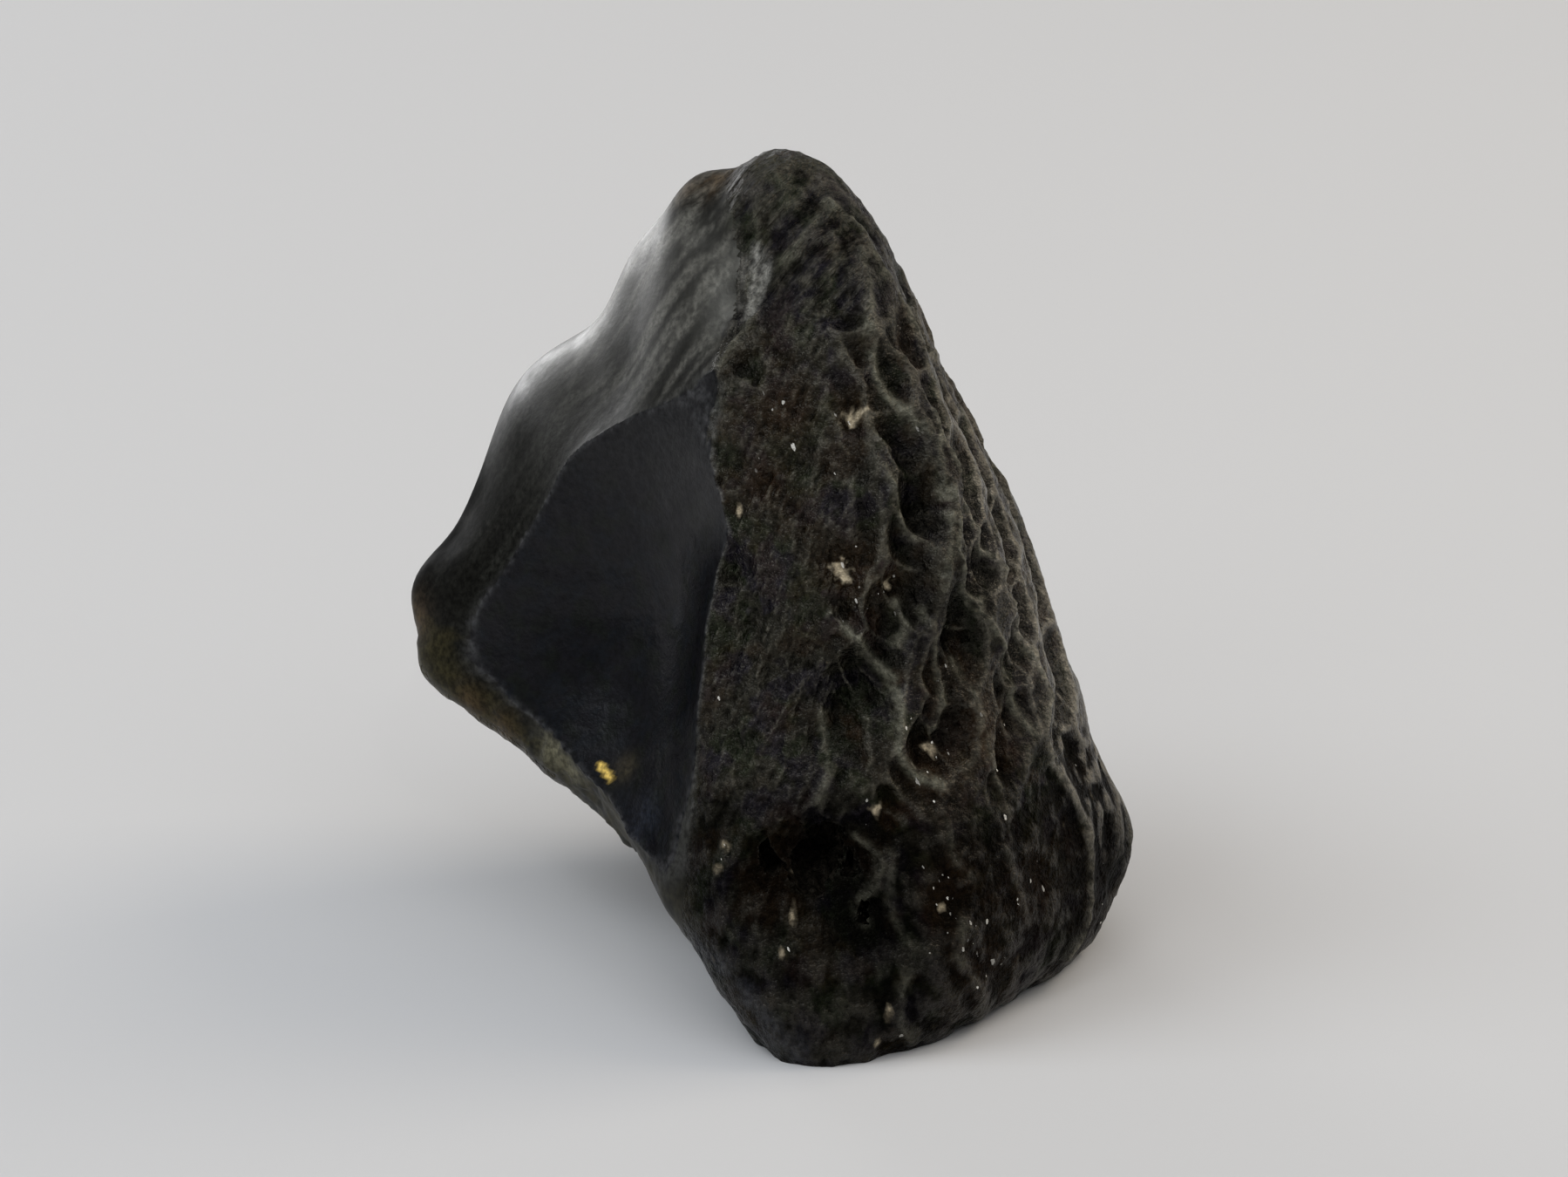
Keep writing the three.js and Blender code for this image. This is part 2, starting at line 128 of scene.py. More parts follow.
# Lines of raised glass, and a groove: their points, half width and height.
RIDGES = [
    ([(5, 20.1, 48.9), (5.4, 18.3, 47.7), (5.6, 17.3, 46.3), (5.3, 16.4, 44.8), (6, 15.3, 42.6),
      (7.2, 14.2, 40.8), (8.4, 13.6, 39.3), (9.5, 13.6, 38), (10.2, 11.7, 33.7),
      (9.7, 10.2, 29.8)], 0.9, 0.6),
    ([(3, 9.3, 28.1), (4.8, 8.6, 26.5), (6.2, 8.3, 25), (7.1, 8, 24.1), (7.4, 7.4, 22.2), (7.1, 6.5, 20),
      (8.6, 5.9, 18), (10.2, 6.1, 17.6)], 0.7, 0.7),
    ([(14.7, 14, 26.7), (15.9, 14.4, 23.3), (16.9, 14.7, 20.7), (16.5, 12.9, 18.8), (17.2, 13, 16.8),
      (18.8, 14.2, 14.1), (20, 14.8, 11.2), (20.4, 14.5, 7.3), (20, 13.6, 4.6), (18.9, 12.2, 2.8)], 0.8, 0.7),
    ([(18.5, 16.8, 19.5), (18.8, 16.0, 17), (20.3, 16.8, 14.2), (21.5, 17.6, 11.2), (21.9, 17.2, 7.4),
      (21.6, 16.3, 4.6), (20.6, 14.8, 2.6)], 1.4, -0.35),
    ([(-4.6, 17.6, 41.2), (-2.2, 19.2, 44.6), (-2, 21.5, 47.6)], 0.7, 0.3),
    ([(6.2, 11.7, 36.9), (7.1, 11.1, 35.3), (8, 10.6, 33.6), (9.1, 10.6, 32.6), (9.9, 10.4, 30.8),
      (9.7, 10, 29.4)], 0.5, 0.4),
    ([(9.4, 14.8, 39.6), (9.8, 14, 38), (11, 13.8, 35.9), (12.2, 13.9, 33.7), (12.9, 13.4, 31.3),
      (14.1, 14.3, 29.1), (15.3, 15.1, 26.3)], 0.5, 0.5),
    ([(10.4, 12.5, 35.1), (10.9, 11.9, 33.4), (10.6, 11, 31.5), (11.6, 10.9, 29.1),
      (12.8, 11.7, 28.1)], 0.5, 0.45),
    ([(7.4, 9.3, 29), (8, 9, 27.3), (7.4, 8.6, 26.2)], 0.45, 0.4),
    ([(12.4, 11.4, 28.2), (13.4, 11.7, 26), (14.7, 12.1, 23), (15.2, 12, 21), (15.9, 12.1, 19.1)], 0.5, 0.45),
    ([(2.7, 23.7, 51.3), (4, 23, 50.5), (5.2, 23.1, 49.8), (5.6, 20.6, 48.8), (6.5, 19.8, 47.7),
      (7.5, 20.4, 46.2), (8.1, 19.6, 44.7), (8.9, 19.5, 42.8), (9.9, 22.5, 40.8)], 0.55, 0.5),
    ([(3, 23.3, 51), (1.5, 21.9, 49.9), (0.7, 21, 48.7), (0, 20.9, 48.2)], 0.5, 0.4),
    ([(11.6, 3.8, 8.9), (11.2, 3.1, 6.9), (12.7, 4.4, 4), (12.9, 6.5, 0.7)], 0.55, 0.3),
    ([(8, 1.9, 5.9), (7.4, 1.6, 3), (8.5, 2.6, 0.9)], 0.5, 0.45),
    ([(4.9, 4.2, 14.1), (6.3, 3.8, 13.1), (5.9, 3.2, 11.1), (4.9, 2.8, 9.3), (5.6, 2.4, 8.4)], 0.4, 0.5),
    ([(7, 3.9, 13.4), (6.9, 3.1, 11.1), (7.2, 2.5, 9.1), (8.2, 2.2, 7.7)], 0.45, 0.25),
    ([(2.5, 7.5, 21.8), (2.8, 6.1, 18.6), (2.1, 5.3, 16.6)], 0.6, 0.35),
    ([(9, 9.5, 28.3), (9.9, 9.2, 25.7), (10.5, 8.6, 23.2), (10.2, 7.5, 20.6)], 0.5, 0.4),
    ([(11.3, 9.6, 24.7), (12.4, 9.2, 21.8), (13.1, 8.5, 19), (14.3, 8.4, 16.3), (14.8, 7.8, 13.1)], 0.5, 0.2),
    ([(10.5, 5.3, 15.4), (11, 4.7, 12.9), (12.5, 5, 11.2)], 0.5, 0.2),
    ([(14.2, 7.2, 13.4), (15.2, 7.2, 10.3), (16.1, 7.9, 6.9)], 0.5, 0.15),]
# The one beside the lobe at the lower right.
LOBE_RIDGE = 2
# Round dents: middle, radius and depth.
DENTS = [
    ((3.9, 8.1, 22.3), 3, 1.1), ((7.4, 2, 5.2), 1.6, 0.7), ((2.2, 4.4, 12.6), 3.3, 2.3),
    ((5.3, 3.4, 9.6), 1.8, 1.4), ((-1.0, 5.4, 13.0), 1.7, 0.9), ((7.4, 2.6, 8.6), 1.1, 0.5),
    ((0, 15.1, 40.1), 2.1, 0.5), ((-2.8, 17.3, 42.4), 1.0, 0.35), ((3.9, 9.9, 31.3), 1.6, 0.8),
    ((7.1, 9.5, 30.2), 0.8, 0.5), ((4.7, 13.8, 40.4), 1.0, 0.5), ((-1.2, 14, 35.4), 1.5, 0.45),
    ((-3.3, 13.9, 34.1), 0.75, 0.7), ((10.1, 6.8, 19.1), 2.0, 0.8), ((10.4, 3.3, 9.7), 1.5, 0.6),
    ((6.1, 4.8, 15.9), 1.3, 0.6), ((-1.4, 4.4, 13.6), 1.0, 0.5), ((11, 9.8, 26.6), 1.1, 0.6),
    ((13.2, 9.6, 17.4), 1.3, 0.6), ((17.4, 9.6, 9.5), 1.6, 0.6), ((3.2, 12.6, 36.8), 1.3, 0.4),
    ((-23.6, 33.6, 25), 1.8, 0.5)]
# The plain facet along the lower left edge: its line and half width.
LOW_FACET = [(-6.4, 7.0, 7.2), (-5, 5.0, 6), (-3.5, 3.1, 4.8), (-1.9, 1.9, 3.2), (0.4, 0.9, 1.2)]
LOW_FACET_WIDTH = 1.3
# The leaf-shaped facet at the top of the long edge, painted bright as a reflection: line, half widths by
# height, and the painted highlight streak beside it.
LEAF = [(-1.9, 22.8, 48.9), (-1.5, 21.6, 47.7), (-1.9, 20.4, 46.1), (-2.3, 19.5, 44.9)]
LEAF_WIDTHS = ((44.4, 46.1, 47.6, 49.2), (0.2, 0.65, 0.95, 0.3))
LEAF_STREAK = [(-2.7, 22.6, 48.0), (-2.7, 21.6, 46.7), (-2.9, 20.5, 45.4)]
# Holes of the broken bubble: middle and half sizes, and how they swell and how ragged they are.
CAVITY = [
    ((2.1, 6.4, 12.6), (1.9, 3.4, 2.9)), ((5.2, 5.0, 9.3), (0.75, 2.4, 1.25)),
    ((-0.9, 6.4, 12.4), (1.1, 2.0, 1.4)), ((4.3, 6.2, 12.4), (0.45, 3.0, 1.5))]
CAVITY_SWELL = 0.14
CAVITY_RAGGED = 0.75
CAVITY_MIDDLE, CAVITY_REACH = (3, 5, 12), 9

# Where the smooth flank ends (x by height, height by x), the calm skin (x by height) and the fine band
# (turn by height), and from where to where the back begins in its paint and in its shape.
SMOOTH_EDGE = ((8, 20, 30, 38, 41, 45, 48, 53), (-6.5, -5.6, -4.6, -5.5, -5.0, -3.2, -2.8, -4.2))
SMOOTH_UNDER = ((-26, -24, -21.7, -19.4, -16, -12.8, -11, -7.8), (18, 15.4, 14.6, 14, 12, 9.8, 7, 4.6))
CALM_EDGE = ((0, 5, 10, 20, 28, 33, 38, 43, 48, 52), (5, 5, 5, 4.5, 3.5, 5.5, 5, 3.5, 2.5, 1.5))
BAND_EDGE = ((0, 10, 18, 26, 30, 40, 48), (1.32, 1.30, 1.17, 1.12, 1.0, 1.15, 1.4))
BACK_PAINT, BACK_SHAPE = (24, 30), (26, 34)

# Places of one look, as middles and radii. On the skin: brown stains, pale cream spots of deposit with a
# painted glint, and groups of glints.
BROWN = [
    ((0, 15.1, 40.1), 2.3), ((-1.2, 14.2, 35.2), 1.9), ((3.9, 9.9, 31), 2.3), ((4.7, 13.8, 40.6), 1.8),
    ((7.1, 9.5, 30.2), 1.5), ((9.5, 6.5, 18.2), 3), ((13, 9, 20), 3.5), ((11, 5, 12), 2.5),
    ((12.7, 4.4, 5), 3), ((15.5, 9, 10), 4), ((5, 21, 49.2), 1.6)]
CREAM = [
    ((4.7, 13.8, 40.4), 0.75), ((3.9, 9.9, 31.3), 0.85), ((4.1, 9.8, 30.6), 0.5), ((7.1, 9.5, 30.2), 0.45),
    ((6.1, 4.8, 15.9), 0.45), ((10.4, 3.3, 9.7), 0.45), ((10.1, 6.8, 19.1), 0.5), ((6.8, 1.4, 3.2), 0.35),
    ((6.1, 1.3, 1.5), 0.3), ((-3.8, 5.4, 13.6), 0.38), ((-4.2, 5, 12), 0.34), ((0.6, 2.9, 9.7), 0.28),
    ((-0.1, 1.9, 7.4), 0.28), ((0.8, 1.8, 7.5), 0.25), ((-3.1, 13.9, 34.2), 0.35)]
SPARKLING = [
    ((-3, 14, 34.1), 1.6), ((0, 15.1, 39), 2.5), ((6, 9, 29.5), 3), ((9, 7, 20), 3), ((13, 8.6, 19), 2.5),
    ((5, 4.6, 15.5), 2.5), ((-3.5, 5.4, 13), 2), ((9, 3, 9), 3), ((12, 4, 8), 3), ((0, 2, 7), 2.5),
    ((1, 21, 48.3), 2)]
# The painted shade round the cavity, and the dull lobe at the lower right.
CAVITY_SHADE = [((2.2, 4.2, 12.6), 3.6), ((5.3, 3.4, 9.4), 2.0), ((-1.0, 5.4, 13.0), 1.8)]
LOBE = [((22.2, 18.2, 9), 6.5)]
# The flank's hump, the wing's tip, and the fold beside the stone's tip.
HUMP = [((-10.4, 27, 39.4), 3.2), ((-13.5, 30, 35.5), 3.0), ((-17, 31.5, 32), 3.0)]
WING_TIP = [((-23.4, 33.6, 24.6), 2.6), ((-24.4, 32.6, 22.2), 1.8), ((-21.5, 34.8, 27.5), 2.4)]
FOLD = [((-4.3, 29.3, 51.3), 2.3)]
# Painted light seen through the thin glass along the wing's edge and at the tip, and facets low on the
# fracture that carry a painted reflection and a painted warm glow.
OLIVE_GLOW = [((-15.2, 21.4, 13.8), 1.3), ((-14, 20.2, 13.0), 1.1)]
THIN_EDGE_GLOW = [
    ((-25.4, 31.8, 19.6), 1.6), ((-4.3, 29.9, 51.5), 1.5), ((-6.3, 31.3, 50.3), 1.2),
    ((-21.4, 26.8, 15.2), 1.3), ((-18.9, 24.9, 14.2), 1.2)]
BLUE_FACETS = [((-9.1, 12.4, 12.9), 1.4), ((-9.6, 12.6, 11.6), 1.1)]
WARM_FACET_GLOW = [((-10.6, 16.2, 14.6), 0.95)]
# The line of the golden glint low on the fracture.
GOLD_GLINT = [(-12.4, 17.7, 14.2), (-11.6, 16.5, 13.7)]

# The glass's colours: the skin's, the flank's, the fracture's, and those of single marks, many of them
# painted highlights, reflections, glow and shade.
TONE = SimpleNamespace(
    grey=(0.0150, 0.0140, 0.0098), green=(0.0118, 0.0158, 0.0072), violet=(0.0108, 0.0092, 0.0142),
    brown=(0.0275, 0.0145, 0.0062), band=(0.070, 0.061, 0.047), convex_highlight=(0.095, 0.089, 0.066),
    band_convex_highlight=(0.17, 0.156, 0.128), ridge_crest_highlight=(0.120, 0.118, 0.088), lobe_crest_highlight=(0.16, 0.146, 0.12),
    low_facet_reflection=(0.030, 0.031, 0.036), leaf=(0.25, 0.245, 0.22), leaf_streak_highlight=(0.16, 0.155, 0.14),
    chipped_highlight=(0.12, 0.12, 0.115),
    flank=(0.0080, 0.0080, 0.0066), flank_light=(0.020, 0.020, 0.017), flank_top_sheen=(0.105, 0.102, 0.088),
    flank_edge_highlight=(0.05, 0.05, 0.047),
    fresh=(0.0026, 0.0025, 0.0038), fresh_green=(0.0026, 0.0036, 0.0024), fresh_blue=(0.0024, 0.0034, 0.0052),
    fresh_upper_sheen=(0.0080, 0.0080, 0.0086), fresh_edge_highlight=(0.06, 0.06, 0.062), blue_facet_reflection=(0.016, 0.019, 0.028),
    warm_facet_glow=(0.040, 0.033, 0.020), gold=(0.95, 0.66, 0.16),
    margin=(0.030, 0.026, 0.012), olive_glow=(0.17, 0.16, 0.105), thin_edge_glow=(0.080, 0.050, 0.024),
    cavity=(0.020, 0.017, 0.013), cream_glint=(0.50, 0.42, 0.29))
# The ways in which streaks run at the top, on the flank and on the calm skin.
STREAK = np.array([0.62, 0.25, 0.74])
SWEEP = np.array([0.45, -0.2, 0.87])
WRINKLE = np.array([0.36, 0.28, 0.89])

# How finely the lump and the holes are meshed, and how far the lump's vertices gather towards the front.
LUMP_SPLITS, LUMP_CUTS, CAVITY_SPLITS = 6, 2, 5
GATHER = 0.36
GATHER_SIDE = (0.3, -1, 0.3)
# The block that cuts the flat under the stone.
GROUND_SIZE, GROUND_MIDDLE = (120, 120, 20), (0, 20, -10)

# The kinds of glass: name, strength of the grain, strength of the glints, and the tint of what it mirrors.
GLASSES = [
    ("pitted_skin", 1.0, 1.0, (1.0, 0.92, 0.77, 1)), ("smooth_flank", 0.05, 0.0, (1.0, 0.955, 0.84, 1)),
    ("fresh_fracture", 0.12, 0.0, (0.98, 0.97, 1.0, 1))]
SKIN_KIND, FLANK_KIND, FRACTURE_KIND = 0, 1, 2
GLINT_COLOUR = (0.95, 0.93, 0.86, 1)
GLASS_IOR = 1.5
# Edges sharper than this many degrees stay sharp.
SHARP_FROM = 50
# The finest grain: waves or cells in a metre, how detailed they are, and how high in metres.
FINE_GRAIN, FINE_HEIGHT = (3000, 2), 0.00020
COARSE_GRAIN, COARSE_HEIGHT = (1150, 3), 0.0006
STRIPES, STRIPE_HEIGHT = (1700, 3), 0.0009
DOTS, DOT_HEIGHT = 2300, 0.00007
SCOOPS, SCOOP_HEIGHT = 1000, 0.00017
# Slow changes of colour and of roughness.
MOTTLE, PATCHES = (2300, 3), (420, 4)
# Two sizes of glints: cells in a metre, how rare, how wide, and the waves in a metre that group them.
GLINTS = [(1250, 0.5, 0.20, 260), (2800, 0.62, 0.25, 420)]
GLINTS_FROM = 0.865

# The floor: half its side, its colour and its roughness.
FLOOR_REACH, FLOOR_COLOUR, FLOOR_ROUGHNESS = 3, (0.695, 0.695, 0.70, 1), 0.9
# The light of the room, and the soft lamps: name, place, size, power and colour.
ROOM_COLOUR, ROOM_LIGHT = (0.95, 0.97, 1, 1), 0.125
LAMPS = [
    ("ceiling", (0.08, -0.36, 1.15), (2.4, 2.0), 11.0, (0.98, 0.985, 1.0)),
    ("cool_window", (-0.36, 0.95, 0.30), (0.7, 0.5), 1.0, (0.97, 0.98, 1.0)),
    ("low_window", (-0.5, 0.9, 0.12), (0.4, 0.2), 1.9, (0.97, 0.98, 1.0)),
    ("left_lamp", (-0.65, -0.1, 0.8), (0.6, 0.5), 2.8, (0.88, 0.94, 1.0)),
    ("warm_wall", (1.6, 0.9, 0.5), (1.6, 1.0), 5.0, (1.0, 0.91, 0.78)),
    ("warm_lamp", (0.6, 0.2, 0.62), (0.4, 0.4), 1.9, (1.0, 0.87, 0.70)),
    ("front_window", (-0.40, -0.6, 0.55), (0.25, 0.25), 0.3, (0.93, 0.97, 1.0)),
    ("spark", (0.08, -0.5, 0.42), (0.02, 0.02), 0.09, (1.0, 0.97, 0.92))]
LAMPS_AIM = (0, 0, 0.025)
# The camera: its height above the floor's line of sight, its distance and its scale.
CAMERA_ELEVATION = math.radians(20)
CAMERA_DISTANCE = 320.0
PIXELS_PER_MM = 17.7
PICTURE_WIDTH, PICTURE_HEIGHT = 1799, 1350
FOOT_ROW = 1228
SENSOR_WIDTH = 36


def unit(vectors):
    vectors = np.asarray(vectors, float)
    return vectors / np.linalg.norm(vectors, axis=-1, keepdims=True)


def smooth_step(low, high, value):
    share = np.clip((value - low) / (high - low), 0, 1)
    return share * share * (3 - 2 * share)


def surface_through(middle, points, rounding):
    """A surface seen from its middle: gives the radius in each direction, through all the points."""
    arms = np.array(points, float) - np.array(middle, float)
    lengths = np.linalg.norm(arms, axis=1)
    sides = arms / lengths[:, None]
    size = len(sides)
    rows = np.ones((size + 1, size + 1))
    rows[:size, :size] = np.sqrt(np.maximum(2 - 2 * sides @ sides.T, 0) + rounding ** 2)
    rows[size, size] = 0
    weights = np.linalg.solve(rows, np.append(lengths, 0))

    def radius(directions):
        cones = np.sqrt(np.maximum(2 - 2 * directions @ sides.T, 0) + rounding ** 2)
        return cones @ weights[:size] + weights[size]

    return radius


lump_radius = surface_through(
    LUMP_MIDDLE, TOP + UPPER_LEFT + WING_EDGE + CRESCENT + HOLLOW_FOOT + ARRIS + REMOVED_BULGE + FRONT
    + LOWER_LEFT + RIGHT_EDGE + RIGHT_BAND + RIGHT_SIDE + BACK + WING_UNDERSIDE + UNDERSIDE, LUMP_ROUNDING)

HOLLOW_OUT = unit(HOLLOW_OUTWARD)
HOLLOW_UP = unit(np.array([0, 0, 1]) - HOLLOW_OUT * HOLLOW_OUT[2])
HOLLOW_ACROSS = np.cross(HOLLOW_UP, HOLLOW_OUT)
HOLLOW_AXES = np.stack([HOLLOW_ACROSS, HOLLOW_UP, HOLLOW_OUT], 1)


def in_hollow(points):
    """The points as across, up and out of the fracture's frame."""
    return (np.asarray(points, float) - np.array(HOLLOW_MIDDLE)) @ HOLLOW_AXES


def plate_bend(apart):
    return apart ** 2 * np.log(np.maximum(apart, 1e-6))


def plate_through(points):
    """The least bent sheet through the points: gives the height out at each place across and up."""
    points = np.asarray(points, float)
    size = len(points)
    flat = points[:, :2]
    rows = np.zeros((size + 3, size + 3))
    rows[:size, :size] = plate_bend(np.linalg.norm(flat[:, None] - flat[None], axis=2))
    rows[:size, size] = rows[size, :size] = 1
    rows[:size, size + 1:] = flat
    rows[size + 1:, :size] = flat.T
    weights = np.linalg.solve(rows, np.append(points[:, 2], [0, 0, 0]))

    def height(places):
        out = np.full(len(places), weights[size]) + places @ weights[size + 1:]
        for spot, weight in zip(flat, weights[:size]):
            out += weight * plate_bend(np.linalg.norm(places - spot, axis=1))
        return out

    return height


hollow_plate = plate_through(np.vstack([in_hollow(CRESCENT + HOLLOW_FOOT + ARRIS), HOLLOW_FLOOR]))


def on_lump(sides):
    return np.array(LUMP_MIDDLE, float) + sides * lump_radius(sides)[:, None]


def on_lump_above(points):
    return on_lump(unit(np.array(points, float) - np.array(LUMP_MIDDLE, float)))


def turned(vectors, axes, angles):
    """The vectors, each turned about its own axis."""
    cosine, sine = np.cos(angles)[:, None], np.sin(angles)[:, None]
    along = (axes * vectors).sum(1, keepdims=True)
    return vectors * cosine + np.cross(axes, vectors) * sine + axes * along * (1 - cosine)


def scattered_pits(count, least, greatest, lean):
    """Pits spread evenly over the lump: their middles, long directions and half widths."""
    i = np.arange(count)
    height_step, turn_step, size_step, lean_step, chance_step = SCATTER_STEPS
    height = 1 - 2 * ((0.5 + i * height_step) % 1)
    turn = 2 * np.pi * ((0.5 + i * turn_step) % 1)
    ring = np.sqrt(1 - height ** 2)
    sides = np.stack([ring * np.cos(turn), ring * np.sin(turn), height], 1)
    kept = i * chance_step % 1 < (lump_radius(sides) / FULL_RADIUS) ** 2
    flow = np.broadcast_to(unit(PIT_FLOW), sides.shape)
    along = turned(flow, sides, (i * lean_step % 1 - 0.5) * lean)
    half = least + (greatest - least) * (i * size_step % 1) ** 2
    return on_lump(sides)[kept], along[kept], half[kept]


def pit_depths(points, count, least, greatest, lean, stretch, depth):
    """How deep a set of pits is at each point: the deepest of those that reach it, so that rims are sharp."""
    middles, along, half = scattered_pits(count, least, greatest, lean)
    deepest = np.zeros(len(points))
    reach = (half * stretch) ** 2
    block = 3000
    for start in range(0, len(points), block):
        part = points[start:start + block]
        apart = (part ** 2).sum(1)[:, None] + (middles ** 2).sum(1)[None] - 2 * part @ middles.T
        near_by, pit = np.nonzero(apart < reach[None])
        arms = part[near_by] - middles[pit]
        lengthwise = (arms * along[pit]).sum(1)
        far = ((lengthwise / stretch) ** 2 + (arms ** 2).sum(1) - lengthwise ** 2) / half[pit] ** 2
        np.maximum.at(deepest, start + near_by, depth * half[pit] * np.maximum(1 - far, 0))
    return deepest


def distance_to_line(points, line):
    least = np.full(len(points), 1e9)
    line = np.asarray(line, float)
    for a, b in zip(line[:-1], line[1:]):
        share = np.clip(((points - a) @ (b - a)) / ((b - a) @ (b - a)), 0, 1)
        least = np.minimum(least, np.linalg.norm(points - a - share[:, None] * (b - a), axis=1))
    return least


def along_line(points, line, width, power=2):
    """1 on the line, falling to 0 beyond that width."""
    return np.exp(-(distance_to_line(points, line) / width) ** power)


def near(points, spots):
    """1 at the spots, falling to 0 beyond their radius."""
    share = np.zeros(len(points))
    for middle, radius in spots:
        share = np.maximum(share, np.exp(-(np.linalg.norm(points - np.array(middle), axis=1) / radius) ** 2))
    return share


def above(spots):
    """The spots moved onto the plain lump."""
    middles, radii = zip(*spots)
    return list(zip(on_lump_above(middles), radii))


def rough(points, size, octaves=3):
    """A rough value from -1 to 1 at each point, with lumps of about that size."""
    return np.array([noise.fractal(Vector(p / size), 0.8, 2.1, octaves) for p in points])


def patches(points, size, octaves, low, high):
    """A patchy share at each point: 0 where the roughness is below low, 1 where it is above high."""
    return smooth_step(low, high, rough(points, size, octaves))


def shortened(points, direction, share):
    """The points drawn together along a direction, so that what is made there grows long."""
    return points - (points @ direction)[:, None] * direction * share


def sides_of(bm, gather, gather_side):
    """Each vertex's direction on the ball, gathered towards one side."""
    sides = unit(np.array([v.co for v in bm.verts]))
    return unit(sides + unit(gather_side) * gather)


def place(bm, points):
    for vertex, point in zip(bm.verts, points):
        vertex.co = point


def mesh_object(name, bm):
    mesh = bpy.data.meshes.new(name)
    bm.to_mesh(mesh)
    bm.free()
    made = bpy.data.objects.new(name, mesh)
    bpy.context.scene.collection.objects.link(made)
    return made


def ball(splits, cuts):
    bm = bmesh.new()
    bmesh.ops.create_icosphere(bm, subdivisions=splits, radius=1)
    if cuts:
        bmesh.ops.subdivide_edges(bm, edges=bm.edges, cuts=cuts, use_grid_fill=True)
    return bm


def along_height(points, heights, values):
    return np.interp(points[:, 2], heights, values)


def smooth_share(base):
    """1 on the smooth upper left, 0 on the pitted skin."""
    left = 1 - smooth_step(-1.2, 1.0, base[:, 0] - along_height(base, *SMOOTH_EDGE))
    front = 1 - smooth_step(38.6, 41.0, base[:, 1])
    above_edge = smooth_step(-0.8, 0.6, base[:, 2] - np.interp(base[:, 0], *SMOOTH_UNDER))
    return left * front * above_edge


def calm_share(base):
    """1 on the fine-grained flat left of the main ridge, 0 among the large pits."""
    left = 1 - smooth_step(-1.5, 1.0, base[:, 0] - along_height(base, *CALM_EDGE))
    return left * (1 - smooth_step(24, 30, base[:, 1]))


def band_share(base):
    """1 on the right of the right edge, where the pits are small."""
    past = np.arctan2(base[:, 0], 20 - base[:, 1]) - along_height(base, *BAND_EDGE)
    height = smooth_step(6, 14, base[:, 2]) * (1 - smooth_step(36, 43, base[:, 2]))
    return smooth_step(-0.06, 0.08, past) * (1 - smooth_step(0.3, 0.9, past)) * height


def low_share(base):
    """1 on the lowest part of the front, which is flatter than the rest."""
    return (1 - smooth_step(13, 20, base[:, 2])) * (1 - smooth_step(15, 24, base[:, 1]))


def top_share(base):
    """1 at the stone's tip, which is streaked and has no deep pits."""
    return smooth_step(44, 48, base[:, 2])


def leaf_share(base):
    """1 on the leaf-shaped facet at the top of the long edge."""
    return along_line(base, on_lump_above(LEAF), along_height(base, *LEAF_WIDTHS), 6)


def skin_rise(base):
    """How far the pitted skin stands above the plain lump."""
    band, low, top = band_share(base), low_share(base), top_share(base)
    calm = np.maximum(calm_share(base), 0.9 * top)
    wander = np.stack([rough(base + offset, 3.5, 2) for offset in (0, 40, 80)], 1) * 0.5
    worn_back = smooth_step(*BACK_SHAPE, base[:, 1]) * (1 - patches(base + 120, 9, 2, -0.2, 0.3))
    strength = (1 - calm) * (1 - 0.15 * band) * (1 - 0.85 * low) * (1 - 0.75 * worn_back)
    rise = (PIT_BRIM - pit_depths(base + wander, **MAIN_PITS)) * strength
    rise += (0.1 - pit_depths(base + wander, **CALM_PITS) * (1 - 0.6 * top)) * calm
    small = pit_depths(base + wander * 0.4, **SMALL_PITS)
    rise -= small * (0.3 + 0.15 * band) * (0.4 + patches(base + 60, 4, 2, -0.2, 0.5))
    rise += 0.08 * rough(base, 0.9, 2)
    rise += (0.16 + 0.06 * low) * rough(base + 20, 3.0, 2)
    rise += 0.13 * calm * (1 - top) * rough(shortened(base, WRINKLE, 0.75), 0.6, 3)
    rise += 0.13 * top * rough(shortened(base, STREAK, 0.9), 0.45, 3)
    return rise * (1 - 0.7 * along_line(base, LOW_FACET, LOW_FACET_WIDTH, 4))


def lump_piece():
    """The whole stone before it is cut: skin, flank, facet, ridges, dents and worn edges."""
    bm = ball(LUMP_SPLITS, LUMP_CUTS)
    sides = sides_of(bm, GATHER, GATHER_SIDE)
    base = on_lump(sides)
    smooth, leaf = smooth_share(base), leaf_share(base)
    rise = skin_rise(base) * (1 - smooth) + 0.03 * smooth * rough(shortened(base, SWEEP, 0.93), 1.6, 3)
    rise = rise * (1 - leaf) - 0.2 * leaf
    for line, width, height in RIDGES:
        rise += height * np.exp(-1.1 * distance_to_line(base, on_lump_above(line)) / width)
    for middle, radius, depth in DENTS:
        rise -= depth * near(base, above([(middle, radius)]))
    worn_edge = along_line(base, WING_EDGE, 1.3)
    margin = along_line(base, on_lump_above(HOLLOW_FOOT), 2.2)
    rise += rough(base + 44, 1.3, 3) * (0.35 * worn_edge + 0.2 * margin)
    place(bm, base + sides * rise[:, None])
    return mesh_object("tektite_stone", bm)


def hollow_sheet(places):
    """The fracture's surface: the bowl with fine ripples that run down from its upper edge."""
    turn = np.arctan2(places[:, 1] - RAYS_FROM[1], places[:, 0] - RAYS_FROM[0])
    far = np.linalg.norm(places - np.array(RAYS_FROM), axis=1)
    rays = rough(np.stack([turn * 22, far * 0.16, far * 0], 1), 1, 3)
    rings = rough(np.stack([far * 0.45, turn * 1.5, far * 0 + 7], 1), 1, 2)
    return hollow_plate(places) + rays * RAY_HEIGHT + rings * RING_HEIGHT


